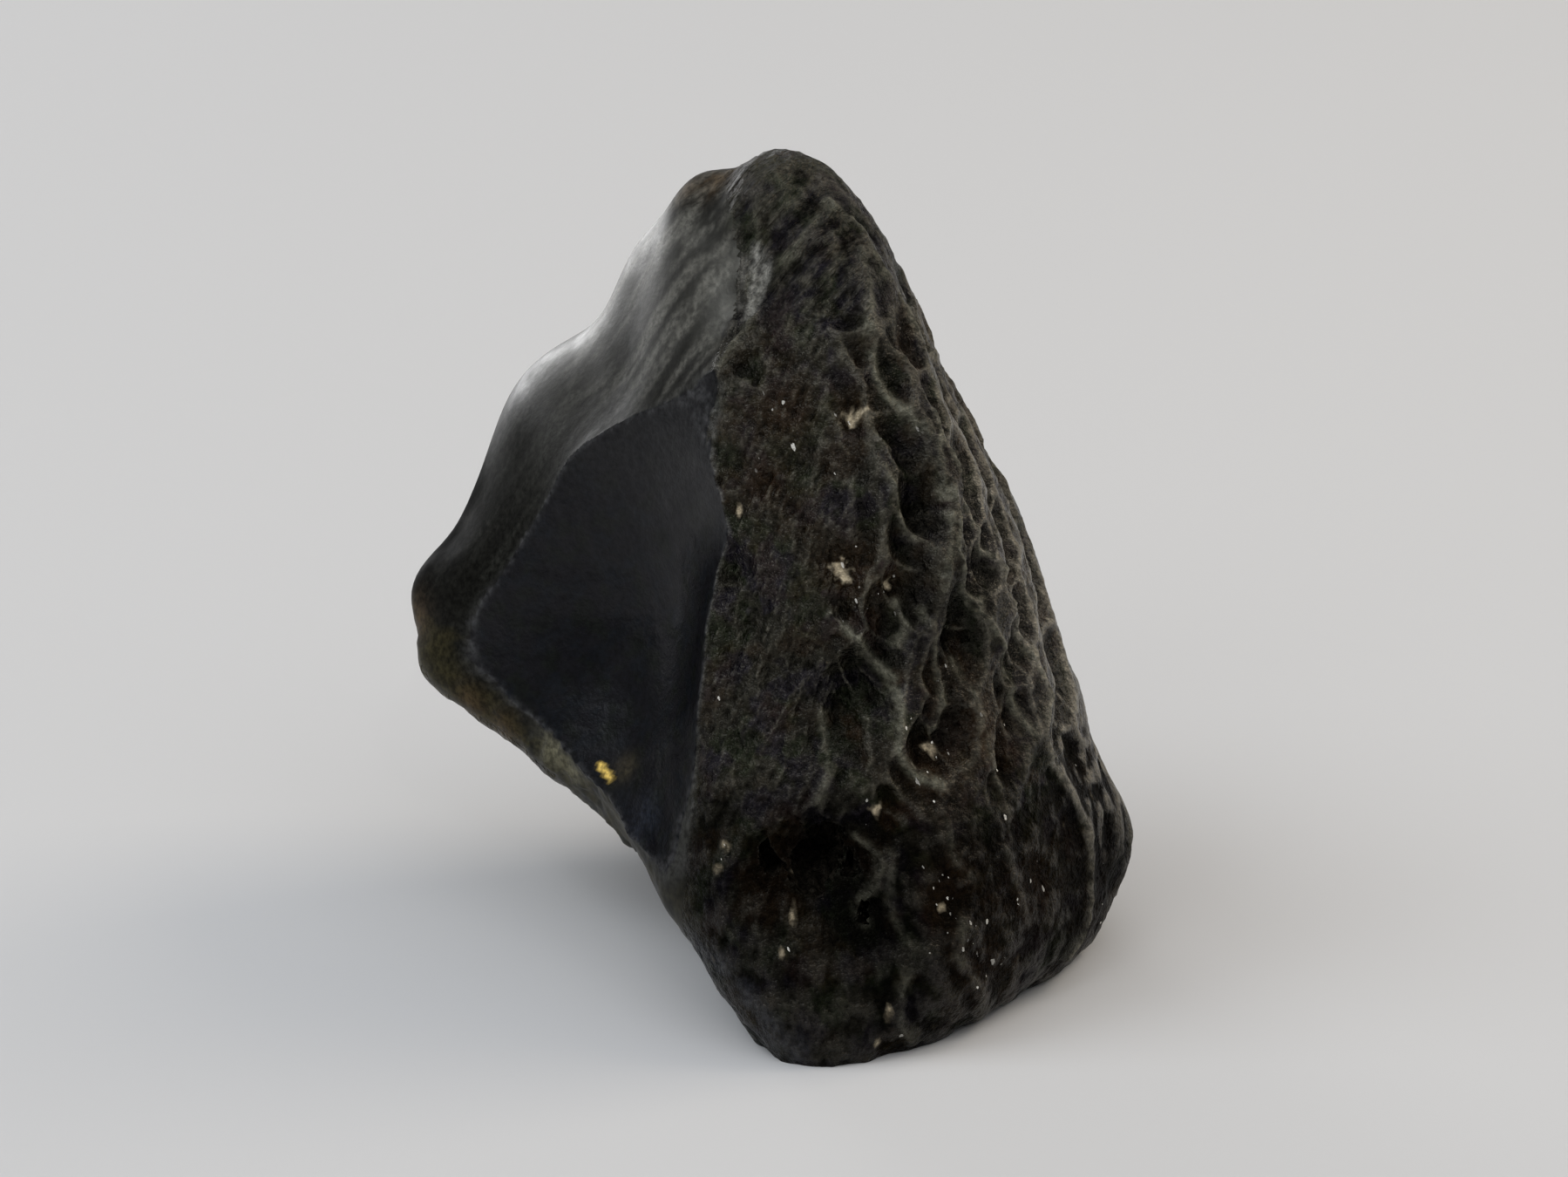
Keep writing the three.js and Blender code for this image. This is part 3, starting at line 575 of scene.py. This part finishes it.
def hollow_tool():
    """A block whose under side is the fracture's surface."""
    bm = bmesh.new()
    bmesh.ops.create_grid(bm, x_segments=HOLLOW_STEPS, y_segments=HOLLOW_STEPS, size=HOLLOW_REACH)
    sheet = list(bm.verts)
    places = np.array([v.co[:2] for v in sheet])
    heights = hollow_sheet(places)
    grown = bmesh.ops.extrude_face_region(bm, geom=bm.faces)["geom"]
    for vertex in grown:
        if isinstance(vertex, bmesh.types.BMVert):
            vertex.co.z = HOLLOW_BLOCK
    for vertex, height in zip(sheet, heights):
        vertex.co.z = height
    middle = np.array(HOLLOW_MIDDLE)
    for vertex in bm.verts:
        vertex.co = middle + HOLLOW_AXES @ np.array(vertex.co)
    bmesh.ops.recalc_face_normals(bm, faces=bm.faces)
    return mesh_object("hollow_tool", bm)


def cavity_tool(middle, half):
    """One hole of the broken bubble, with a swollen and ragged wall."""
    bm = ball(CAVITY_SPLITS, 0)
    sides = sides_of(bm, 0, GATHER_SIDE)
    swell = 1 + CAVITY_SWELL * np.sin(3 * sides[:, 0] + 2 * middle[2]) * np.cos(3 * sides[:, 2] - middle[0])
    points = np.array(middle, float) + sides * np.array(half, float) * swell[:, None]
    points += np.stack([rough(points + offset, 1.5, 3) for offset in (0, 30, 60)], 1) * CAVITY_RAGGED
    place(bm, points)
    return mesh_object("cavity_tool", bm)


def ground_tool():
    """The block under the floor, which leaves the stone a flat to rest on."""
    bm = bmesh.new()
    bmesh.ops.create_cube(bm, size=1)
    bmesh.ops.scale(bm, vec=GROUND_SIZE, verts=bm.verts)
    bmesh.ops.translate(bm, vec=GROUND_MIDDLE, verts=bm.verts)
    return mesh_object("ground_tool", bm)


def cut(piece, tools):
    """Cuts the tools' shapes out of the piece, and removes the tools."""
    for tool in tools:
        step = piece.modifiers.new("cut", "BOOLEAN")
        step.operation = "DIFFERENCE"
        step.solver = "MANIFOLD"
        step.object = tool
    bpy.context.view_layer.update()
    solid = piece.evaluated_get(bpy.context.evaluated_depsgraph_get())
    mesh = bpy.data.meshes.new_from_object(solid)
    piece.modifiers.clear()
    piece.data = mesh
    for tool in tools:
        bpy.data.objects.remove(tool)


def to_metres(points):
    return (points + np.array(TO_ORIGIN)) * MM


def read(items, name, width=3, kind=float):
    values = np.empty(len(items) * width, kind)
    items.foreach_get(name, values)
    return values.reshape(-1, width) if width > 1 else values


def neighbour_mean(values, edges):
    """The mean of each vertex's neighbours."""
    count = len(values)
    ends = np.concatenate([edges[:, 0], edges[:, 1]])
    starts = np.concatenate([edges[:, 1], edges[:, 0]])
    shares = np.bincount(ends, minlength=count)
    total = np.stack([np.bincount(ends, values[starts, i], count) for i in range(values.shape[1])], 1)
    return total / np.maximum(shares, 1)[:, None]


def mixed(share, first, second):
    share = np.clip(share, 0, 1)[:, None]
    return first * (1 - share) + np.array(second) * share


def layered(colour, *layers):
    """The colours, with others laid over them, each by its share."""
    for share, tone in layers:
        colour = mixed(share, colour, tone)
    return colour


def dimmed(colour, *shares):
    """The colours, darkened by shares at each vertex."""
    for share in shares:
        colour = colour * (1 - share)[:, None]
    return colour


def facts_of(points, normals, edges):
    """What the paint needs to know of each vertex: where it lies, its form, and its share of each place."""
    arms = points - np.array(LUMP_MIDDLE)
    far = np.linalg.norm(arms, axis=1)
    base, radius = on_lump_above(points), lump_radius(unit(arms))
    flat = points
    for _ in range(4):
        flat = neighbour_mean(flat, edges)
    ridge = ((points - flat) * normals).sum(1)
    at = SimpleNamespace(points=points, base=base, depth=radius + PIT_BRIM - far, seen=in_hollow(points))
    at.pit = np.clip(at.depth / 1.3, 0, 1)
    # Convex crests get a painted highlight, and dips get painted shade.
    at.convex_highlight, at.sunk = smooth_step(0.010, 0.05, ridge), smooth_step(0.0, 0.045, -ridge)
    at.smooth, at.calm, at.band = smooth_share(base), calm_share(base), band_share(base)
    at.low, at.top, at.away = low_share(base), top_share(base), smooth_step(*BACK_PAINT, base[:, 1])
    at.off_sheet = at.seen[:, 2] - hollow_sheet(at.seen[:, :2])
    at.broken = np.abs(at.off_sheet) < ON_FRACTURE
    by_rim, by_sheet = np.exp(-((far - radius) / 0.15) ** 2), np.exp(-(at.off_sheet / 0.14) ** 2)
    at.edge = np.where(at.broken, by_rim, by_sheet)
    at.gloomy, at.lobe = near(base, above(CAVITY_SHADE)), near(points, LOBE)
    at.hump, at.tip, at.fold = near(points, HUMP), near(points, WING_TIP), near(points, FOLD)
    at.cap = smooth_step(47.5, 50, points[:, 2])
    by_cavity = np.linalg.norm(points - np.array(CAVITY_MIDDLE), axis=1) < CAVITY_REACH
    at.inside = smooth_step(2.4, 3.6, at.depth) * by_cavity
    stained = patches(points + 90, 3.4, 3, -0.05, 0.4) * (0.45 + 0.55 * at.pit - 0.2 * at.calm)
    at.stain = np.maximum(near(base, above(BROWN)), stained)
    at.grained = 0.35 + 0.65 * patches(points * (2.5, 1, 0.6), 0.8, 2, -0.5, 0.4)
    # Where the painted highlight along the edges shows, broken up like chips.
    at.chipped_highlight = patches(points + 12, 0.7, 2, -0.5, 0.3)
    # Pale cream spots: a deposit painted with a glint.
    pale = smooth_step(0.42, 1.1, near(base, above(CREAM)) + 0.55 * rough(points, 0.45, 3))
    at.pale = pale * (1 - at.smooth) * (1 - 0.35 * at.low) * ~at.broken
    return at


def with_crests(colour, at):
    """Painted highlights on the crests of the lines of raised glass, with painted shade at their feet."""
    lit = patches(at.points + 8, 0.9, 2, -0.6, 0.2)
    for line, width, height in RIDGES:
        apart = distance_to_line(at.base, on_lump_above(line))
        colour = dimmed(colour, 0.5 * np.exp(-((apart - 1.1) / 0.5) ** 2))
        ridge_crest_highlight = np.exp(-(apart / 0.3) ** 2) * np.clip(1.5 * height, 0, 1)
        colour = mixed(ridge_crest_highlight * (1 - 0.4 * at.low) * (1 - 0.5 * at.lobe) * lit, colour, TONE.ridge_crest_highlight)
    by_lobe = along_line(at.base, on_lump_above(RIDGES[LOBE_RIDGE][0]), 0.28)
    return mixed(by_lobe * lit * 0.35, colour, TONE.lobe_crest_highlight)


def skin_colour(at):
    """The pitted skin: mottled and stained, with painted shade in its pits and dips and painted highlights on
    its convex crests.
    """
    # The right band's paler, warmer tone is a painted reflection.
    colour = layered(
        np.tile(TONE.grey, (len(at.points), 1)),
        (patches(at.points, 3.0, 3, -0.1, 0.3), TONE.green),
        (patches(at.points + 50, 2.4, 3, 0.0, 0.35), TONE.violet),
        (at.stain * (1 - 0.6 * at.top), TONE.brown),
        (at.band * 0.3, TONE.band))
    # Painted shade in the pits and dips and round the cavity; darker also on the lowest front and the lobe.
    in_pits, in_dips = at.pit * (1 - 0.5 * at.low), at.sunk * (1 - 0.6 * at.low + 0.45 * at.band)
    colour = dimmed(colour, 0.55 * in_pits, 0.6 * in_dips, 0.62 * at.low, 0.65 * at.gloomy, 0.85 * at.lobe)
    # Painted highlights on the convex crests, strongest on the right band; the back is a little darker.
    shown = at.convex_highlight * (0.42 - 0.4 * at.low - 0.12 * at.calm + 0.3 * at.band)
    colour = mixed(shown * (1 - 0.6 * at.away) * (1 - 0.75 * at.lobe), colour, TONE.convex_highlight)
    colour = mixed(at.convex_highlight * at.band * 0.4, dimmed(colour, 0.3 * at.away), TONE.band_convex_highlight)
    facet = along_line(at.base, LOW_FACET, LOW_FACET_WIDTH, 4) * patches(at.points + 33, 1.6, 3, -0.5, 0.1)
    return layered(
        with_crests(colour, at),
        # Painted reflection: the low facet's pale bluish tone.
        (facet * 0.7, TONE.low_facet_reflection),
        # Painted reflection: the leaf facet's pale tone.
        (leaf_share(at.base) * at.grained, TONE.leaf),
        # Painted highlight along the edge, broken up where it is chipped.
        (at.edge * 0.8 * at.chipped_highlight * (at.points[:, 0] < 0), TONE.chipped_highlight))


def flank_colour(at):
    """The smooth flank: streaked along its sweep, paler towards the top by a painted sheen, with a painted
    highlight along its edge.
    """
    sweep = rough(shortened(at.base, SWEEP, 0.95), 0.9, 3)
    # Painted sheen: paler towards the top of the flank.
    high = smooth_step(34, 44, at.points[:, 2]) * smooth_step(-0.3, 0.6, sweep)
    colour = layered(
        np.tile(TONE.flank, (len(at.points), 1)),
        (smooth_step(-0.2, 0.7, sweep), TONE.flank_light),
        (high * 0.9, TONE.flank_top_sheen),
        (at.edge * 0.5, TONE.flank_edge_highlight))
    return dimmed(colour, 0.85 * at.tip)


def fracture_colour(at):
    """The fresh fracture: nearly black with faint green and blue, a painted sheen higher up, a painted
    reflection and a painted warm glow on two kinds of facet, and a painted highlight along its chipped edge.
    """
    return layered(
        np.tile(TONE.fresh, (len(at.points), 1)),
        (patches(at.points + 30, 1.6, 3, 0, 0.4), TONE.fresh_green),
        (patches(at.points + 70, 1.3, 3, 0, 0.4), TONE.fresh_blue),
        # Painted sheen higher up, painted reflection on the bluish facets and painted glow on the warm facet.
        (smooth_step(3, 12, at.seen[:, 1]) * 0.8, TONE.fresh_upper_sheen),
        (near(at.points, BLUE_FACETS) * 0.7, TONE.blue_facet_reflection),
        (near(at.points, WARM_FACET_GLOW) * 0.9, TONE.warm_facet_glow),
        (at.edge * 0.6 * at.chipped_highlight, TONE.fresh_edge_highlight))


def glass_colour(at):
    """The glass's colour at each vertex, with its single marks, painted light, glow and shade among them."""
    points = at.points
    # Painted highlight streak beside the leaf facet.
    streak = along_line(at.base, on_lump_above(LEAF_STREAK), 0.22) * at.grained
    colour = mixed(at.smooth, skin_colour(at), flank_colour(at))
    colour = mixed(streak * 0.8, colour, TONE.leaf_streak_highlight)
    # Painted light seen through the thin glass: the margin by the wing's lower edge, the olive patches and
    # the brown glow at the tips.
    margin = smooth_step(0.0, -0.6, at.off_sheet) * smooth_step(-5, -9, points[:, 0]) * (points[:, 2] < 20)
    return layered(
        np.where(at.broken[:, None], fracture_colour(at), colour),
        (along_line(points, GOLD_GLINT, 0.24, 4), TONE.gold),
        (margin * ~at.broken * patches(points + 15, 1.5, 3, -0.5, 0.2), TONE.margin),
        (near(points, OLIVE_GLOW) * 0.9 * ~at.broken, TONE.olive_glow),
        (near(points, THIN_EDGE_GLOW) * 0.6 * ~at.broken, TONE.thin_edge_glow),
        (at.inside, TONE.cavity),
        (at.pale, TONE.cream_glint))


def glass_roughness(at):
    """How dull the glass is at each vertex."""
    skin = 0.31 + 0.2 * at.lobe - 0.05 * at.band - 0.08 * at.pit - 0.05 * at.sunk + 0.08 * at.convex_highlight
    flank = 0.42 + 0.36 * at.tip + 0.2 * at.hump + 0.3 * at.cap
    dull = np.where(at.broken, 0.36, skin * (1 - at.smooth) + flank * at.smooth)
    dull = dull * (1 - at.inside) + 0.5 * at.inside
    return np.clip(dull - 0.2 * at.pale + 0.4 * at.fold, 0.15, 0.9)


def glass_shine(at):
    """How strongly the glass mirrors at each vertex."""
    skin = 0.23 + 0.02 * at.calm + 0.19 * at.convex_highlight - 0.12 * at.pit - 0.07 * at.sunk - 0.16 * at.low
    skin += 0.12 * at.away + (0.08 + 0.85 * at.convex_highlight) * at.band - 0.3 * at.lobe - 0.07 * at.top - 0.2 * at.fold
    flank = 0.12 + 0.62 * smooth_step(28, 39, at.points[:, 2])
    flank *= (1 - 0.7 * at.hump) * (1 - 0.6 * at.cap) * (1 - 0.9 * at.fold)
    flank *= 1 - 0.65 * along_line(at.points, CRESCENT, 4.5)
    flank *= (1 - 0.5 * smooth_step(-15, -19, at.points[:, 0])) * (1 - 0.9 * np.minimum(1.3 * at.tip, 1))
    by_arris = smooth_step(0, 5, at.seen[:, 0]) * (1 - smooth_step(4, 9, at.seen[:, 1]))
    shine = np.where(at.broken, 0.24 * (1 - 0.85 * by_arris), skin * (1 - at.smooth) + flank * at.smooth)
    return np.clip(shine * (1 - 0.6 * at.gloomy), 0.02, 0.85)


def glass_shares(at):
    """What the materials read at each vertex besides the colour, by name."""
    on_skin = (1 - at.smooth) * ~at.broken
    sparkling = np.maximum(at.stain, near(at.base, above(SPARKLING))) * (1 - at.gloomy)
    return {
        "roughness": glass_roughness(at),
        "shine": glass_shine(at),
        "pitted": on_skin * (1 - 0.75 * np.maximum(at.calm, at.top)) * (1 - 0.4 * at.low),
        "sparkling": sparkling * on_skin * (1 - at.inside) * (1 - 0.7 * at.top),
        "striped": at.top * (1 - at.smooth)}


def give_materials(mesh):
    """The three kinds of glass, given out face by face."""
    middles = read(mesh.polygons, "center")
    seen = in_hollow(middles)
    on_fracture = np.abs(seen[:, 2] - hollow_sheet(seen[:, :2])) < ON_FRACTURE
    on_flank = smooth_share(on_lump_above(middles)) > 0.5
    mesh.materials.clear()
    grain_tree = glass_grain()
    for name, relief, speckle, reflected in GLASSES:
        mesh.materials.append(glass(name, grain_tree, relief, speckle, reflected))
    kind = np.where(on_fracture, FRACTURE_KIND, np.where(on_flank, FLANK_KIND, SKIN_KIND))
    mesh.polygons.foreach_set("material_index", kind.astype(np.int32))


def build_stone():
    stone = lump_piece()
    cut(stone, [hollow_tool()] + [cavity_tool(*hole) for hole in CAVITY] + [ground_tool()])
    mesh = stone.data
    points = read(mesh.vertices, "co")
    at = facts_of(points, read(mesh.vertices, "normal"), read(mesh.edges, "vertices", 2, np.int32))
    colour = np.column_stack([glass_colour(at), np.ones(len(points))])
    tone = mesh.attributes.new("tone", "FLOAT_COLOR", "POINT")
    tone.data.foreach_set("color", colour.astype(np.float32).ravel())
    for name, values in glass_shares(at).items():
        mesh.attributes.new(name, "FLOAT", "POINT").data.foreach_set("value", values.astype(np.float32))
    give_materials(mesh)
    placed = np.clip(to_metres(points), np.array(CAD_BOX[0]), np.array(CAD_BOX[1]))
    mesh.vertices.foreach_set("co", placed.ravel())
    mesh.shade_smooth()
    mesh.set_sharp_from_angle(angle=math.radians(SHARP_FROM))
    mesh.update()
    return stone


def bare_material(name):
    """A material with one plain surface shader."""
    material = bpy.data.materials.new(name)
    material.use_nodes = True
    nodes = material.node_tree.nodes
    nodes.clear()
    output = nodes.new("ShaderNodeOutputMaterial")
    shader = nodes.new("ShaderNodeBsdfPrincipled")
    material.node_tree.links.new(shader.outputs["BSDF"], output.inputs["Surface"])
    return material, shader


def new_group(name, inputs, outputs):
    """A node group with numbers for inputs, and numbers and a normal for outputs."""
    tree = bpy.data.node_groups.new(name, "ShaderNodeTree")
    for label, value in inputs.items():
        socket = tree.interface.new_socket(label, in_out="INPUT", socket_type="NodeSocketFloat")
        socket.default_value = value
    for label in outputs:
        kind = "NodeSocketVector" if label == "Normal" else "NodeSocketFloat"
        tree.interface.new_socket(label, in_out="OUTPUT", socket_type=kind)
    return tree, tree.nodes.new("NodeGroupInput"), tree.nodes.new("NodeGroupOutput")


def noise_at(tree, spot, scale, detail):
    """Cloudy noise at a place."""
    wave = tree.nodes.new("ShaderNodeTexNoise")
    wave.inputs["Scale"].default_value = scale
    wave.inputs["Detail"].default_value = detail
    wave.inputs["Roughness"].default_value = 0.62
    tree.links.new(spot, wave.inputs["Vector"])
    return wave.outputs["Fac"]


def noise_of(tree, scale, detail):
    """Cloudy noise at the place on the stone."""
    return noise_at(tree, tree.nodes.new("ShaderNodeTexCoord").outputs["Object"], scale, detail)


def feed(tree, socket, value):
    """Gives a socket a number, a colour or another node's output."""
    if isinstance(value, (int, float, tuple)):
        socket.default_value = value
    elif value is not None:
        tree.links.new(value, socket)


def calculated(tree, operation, first, second=None, third=None):
    made = tree.nodes.new("ShaderNodeMath")
    made.operation = operation
    for socket, value in zip(made.inputs, (first, second, third)):
        feed(tree, socket, value)
    return made.outputs[0]


def mapped(tree, value, low, high, to_low, to_high):
    made = tree.nodes.new("ShaderNodeMapRange")
    for name, number in (("From Min", low), ("From Max", high), ("To Min", to_low), ("To Max", to_high)):
        made.inputs[name].default_value = number
    tree.links.new(value, made.inputs["Value"])
    return made.outputs["Result"]


def blend(tree, share, first, second, kind="MIX"):
    """A colour between two, each a colour or an output."""
    made = tree.nodes.new("ShaderNodeMix")
    made.data_type = "RGBA"
    made.blend_type = kind
    for index, value in ((0, share), (6, first), (7, second)):
        feed(tree, made.inputs[index], value)
    return made.outputs[2]


def vector_math(tree, operation, first, second=None, scale=None):
    made = tree.nodes.new("ShaderNodeVectorMath")
    made.operation = operation
    for socket, value in zip(made.inputs, (first, second)):
        feed(tree, socket, value)
    if scale is not None:
        feed(tree, made.inputs["Scale"], scale)
    return made.outputs["Value" if operation == "DOT_PRODUCT" else "Vector"]


def drawn_out(tree, direction, share):
    """The place on the stone, shortened along a direction, so that what is made there grows long."""
    spot = tree.nodes.new("ShaderNodeTexCoord").outputs["Object"]
    along = tuple(float(x) for x in unit(direction))
    length = vector_math(tree, "DOT_PRODUCT", spot, along)
    drawn = vector_math(tree, "SCALE", along, None, calculated(tree, "MULTIPLY", length, share))
    return vector_math(tree, "SUBTRACT", spot, drawn)


def cells(tree, spot, scale):
    made = tree.nodes.new("ShaderNodeTexVoronoi")
    made.inputs["Scale"].default_value = scale
    tree.links.new(spot, made.inputs["Vector"])
    return made


def kept_value(tree, name, output="Fac"):
    """What the mesh holds under that name at each vertex."""
    made = tree.nodes.new("ShaderNodeAttribute")
    made.attribute_name = name
    return made.outputs[output]


def glints(tree, scale, rarest, widest, group_scale, wanted):
    """Rare ragged specks, in groups."""
    spot = drawn_out(tree, PIT_FLOW, 0.5)
    shake = tree.nodes.new("ShaderNodeTexNoise")
    shake.inputs["Scale"].default_value = scale * 2.2
    tree.links.new(spot, shake.inputs["Vector"])
    shift = vector_math(tree, "SCALE", shake.outputs["Color"], None, 0.5 / scale)
    shaken = vector_math(tree, "ADD", spot, shift)
    specks = cells(tree, shaken, scale)
    apart = tree.nodes.new("ShaderNodeSeparateColor")
    tree.links.new(specks.outputs["Color"], apart.inputs["Color"])
    size = mapped(tree, apart.outputs["Red"], rarest, 1.0, 0.0, widest)
    inside = calculated(tree, "LESS_THAN", specks.outputs["Distance"], size)
    group = calculated(tree, "ADD", noise_of(tree, group_scale, 2), wanted)
    grouped = calculated(tree, "GREATER_THAN", group, GLINTS_FROM)
    strength = mapped(tree, apart.outputs["Green"], 0.0, 1.0, 0.1, 1.0)
    return calculated(tree, "MULTIPLY", calculated(tree, "MULTIPLY", inside, grouped), strength)


def glass_grain():
    """Fine pits and grain, slow patches and rare tiny glints, from the place on the stone."""
    tree, given, made = new_group(
        "glass_grain", {"Relief": 1.0, "Pitted": 0.0, "Sparkling": 0.0, "Striped": 0.0},
        ("Normal", "Mottle", "Patches", "Lift", "Glints"))
    link = tree.links.new

    def times(first, second):
        return calculated(tree, "MULTIPLY", first, second)

    def plus(first, second):
        return calculated(tree, "ADD", first, second)

    flow = drawn_out(tree, PIT_FLOW, 0.38)
    dots = times(cells(tree, flow, DOTS).outputs["Distance"], DOT_HEIGHT)
    scoops = times(cells(tree, flow, SCOOPS).outputs["Distance"], SCOOP_HEIGHT)
    fine, coarse = noise_of(tree, *FINE_GRAIN), noise_of(tree, *COARSE_GRAIN)
    grain = plus(times(fine, FINE_HEIGHT), times(coarse, COARSE_HEIGHT))
    stripes = times(noise_at(tree, drawn_out(tree, STREAK, 0.88), *STRIPES), STRIPE_HEIGHT)
    marks = plus(times(plus(dots, scoops), given.outputs["Pitted"]), times(stripes, given.outputs["Striped"]))
    bump = tree.nodes.new("ShaderNodeBump")
    bump.inputs["Distance"].default_value = 1.0
    link(given.outputs["Relief"], bump.inputs["Strength"])
    link(plus(grain, marks), bump.inputs["Height"])
    link(bump.outputs["Normal"], made.inputs["Normal"])
    lift = plus(times(fine, 0.45), times(coarse, 0.55))
    link(mapped(tree, lift, 0.4, 0.6, 0.5, 1.5), made.inputs["Lift"])
    link(mapped(tree, noise_of(tree, *MOTTLE), 0.36, 0.64, 0.5, 1.5), made.inputs["Mottle"])
    link(mapped(tree, noise_of(tree, *PATCHES), 0.3, 0.7, -0.08, 0.08), made.inputs["Patches"])
    wanted = times(given.outputs["Sparkling"], 0.5)
    large, small = [glints(tree, *size, wanted) for size in GLINTS]
    link(calculated(tree, "MAXIMUM", large, small), made.inputs["Glints"])
    return tree


def glass(name, grain_tree, relief, speckle, reflected):
    """One kind of glass: its colour with painted light and shade, its roughness and shine at each vertex, and
    the shared grain.
    """
    material, shader = bare_material(name)
    tree = material.node_tree
    link = tree.links.new
    grain = tree.nodes.new("ShaderNodeGroup")
    grain.node_tree = grain_tree
    grain.inputs["Relief"].default_value = relief
    for share in ("pitted", "sparkling", "striped"):
        link(kept_value(tree, share), grain.inputs[share.capitalize()])
    own = blend(tree, 1.0, kept_value(tree, "tone", "Color"), grain.outputs["Mottle"], "MULTIPLY")
    glint = calculated(tree, "MULTIPLY", grain.outputs["Glints"], speckle)
    dull = calculated(tree, "ADD", kept_value(tree, "roughness"), grain.outputs["Patches"])
    lift = calculated(tree, "SUBTRACT", grain.outputs["Lift"], 1.0)
    lift = calculated(tree, "MULTIPLY_ADD", lift, relief, 1.0)
    shine = calculated(tree, "MULTIPLY", kept_value(tree, "shine"), lift)
    link(blend(tree, glint, own, GLINT_COLOUR), shader.inputs["Base Color"])
    link(dull, shader.inputs["Roughness"])
    link(shine, shader.inputs["Specular IOR Level"])
    link(grain.outputs["Normal"], shader.inputs["Normal"])
    shader.inputs["IOR"].default_value = GLASS_IOR
    shader.inputs["Specular Tint"].default_value = reflected
    return material


def floor():
    bm = bmesh.new()
    bmesh.ops.create_grid(bm, x_segments=1, y_segments=1, size=FLOOR_REACH)
    paper = mesh_object("floor", bm)
    material, shader = bare_material("pale_paper")
    shader.inputs["Base Color"].default_value = FLOOR_COLOUR
    shader.inputs["Roughness"].default_value = FLOOR_ROUGHNESS
    paper.data.materials.append(material)


def soft_light(name, position, size, power, colour):
    lamp = bpy.data.lights.new(name, "AREA")
    lamp.shape = "RECTANGLE"
    lamp.size, lamp.size_y = size
    lamp.energy = power
    lamp.color = colour
    made = bpy.data.objects.new(name, lamp)
    made.location = position
    made.rotation_euler = (Vector(LAMPS_AIM) - Vector(position)).to_track_quat("-Z", "Y").to_euler()
    bpy.context.scene.collection.objects.link(made)


def lights():
    world = bpy.data.worlds.new("pale_room")
    world.use_nodes = True
    background = world.node_tree.nodes["Background"]
    background.inputs["Color"].default_value = ROOM_COLOUR
    background.inputs["Strength"].default_value = ROOM_LIGHT
    bpy.context.scene.world = world
    for lamp in LAMPS:
        soft_light(*lamp)


def camera():
    view = np.array([0, math.cos(CAMERA_ELEVATION), -math.sin(CAMERA_ELEVATION)])
    up = np.array([0, math.sin(CAMERA_ELEVATION), math.cos(CAMERA_ELEVATION)])
    target = up * (FOOT_ROW - PICTURE_HEIGHT / 2) / PIXELS_PER_MM
    eye = target - view * CAMERA_DISTANCE
    lens = bpy.data.cameras.new("camera")
    lens.sensor_width = SENSOR_WIDTH
    lens.lens = SENSOR_WIDTH * PIXELS_PER_MM * CAMERA_DISTANCE / PICTURE_WIDTH
    lens.clip_start = 0.01
    made = bpy.data.objects.new("camera", lens)
    made.location = to_metres(eye)
    made.rotation_euler = Vector(view).to_track_quat("-Z", "Y").to_euler()
    bpy.context.scene.collection.objects.link(made)
    bpy.context.scene.camera = made


camera()
lights()
floor()
stone = build_stone()
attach(stone, "root")
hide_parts("tektite")
bpy.context.scene.view_settings.view_transform = "Standard"
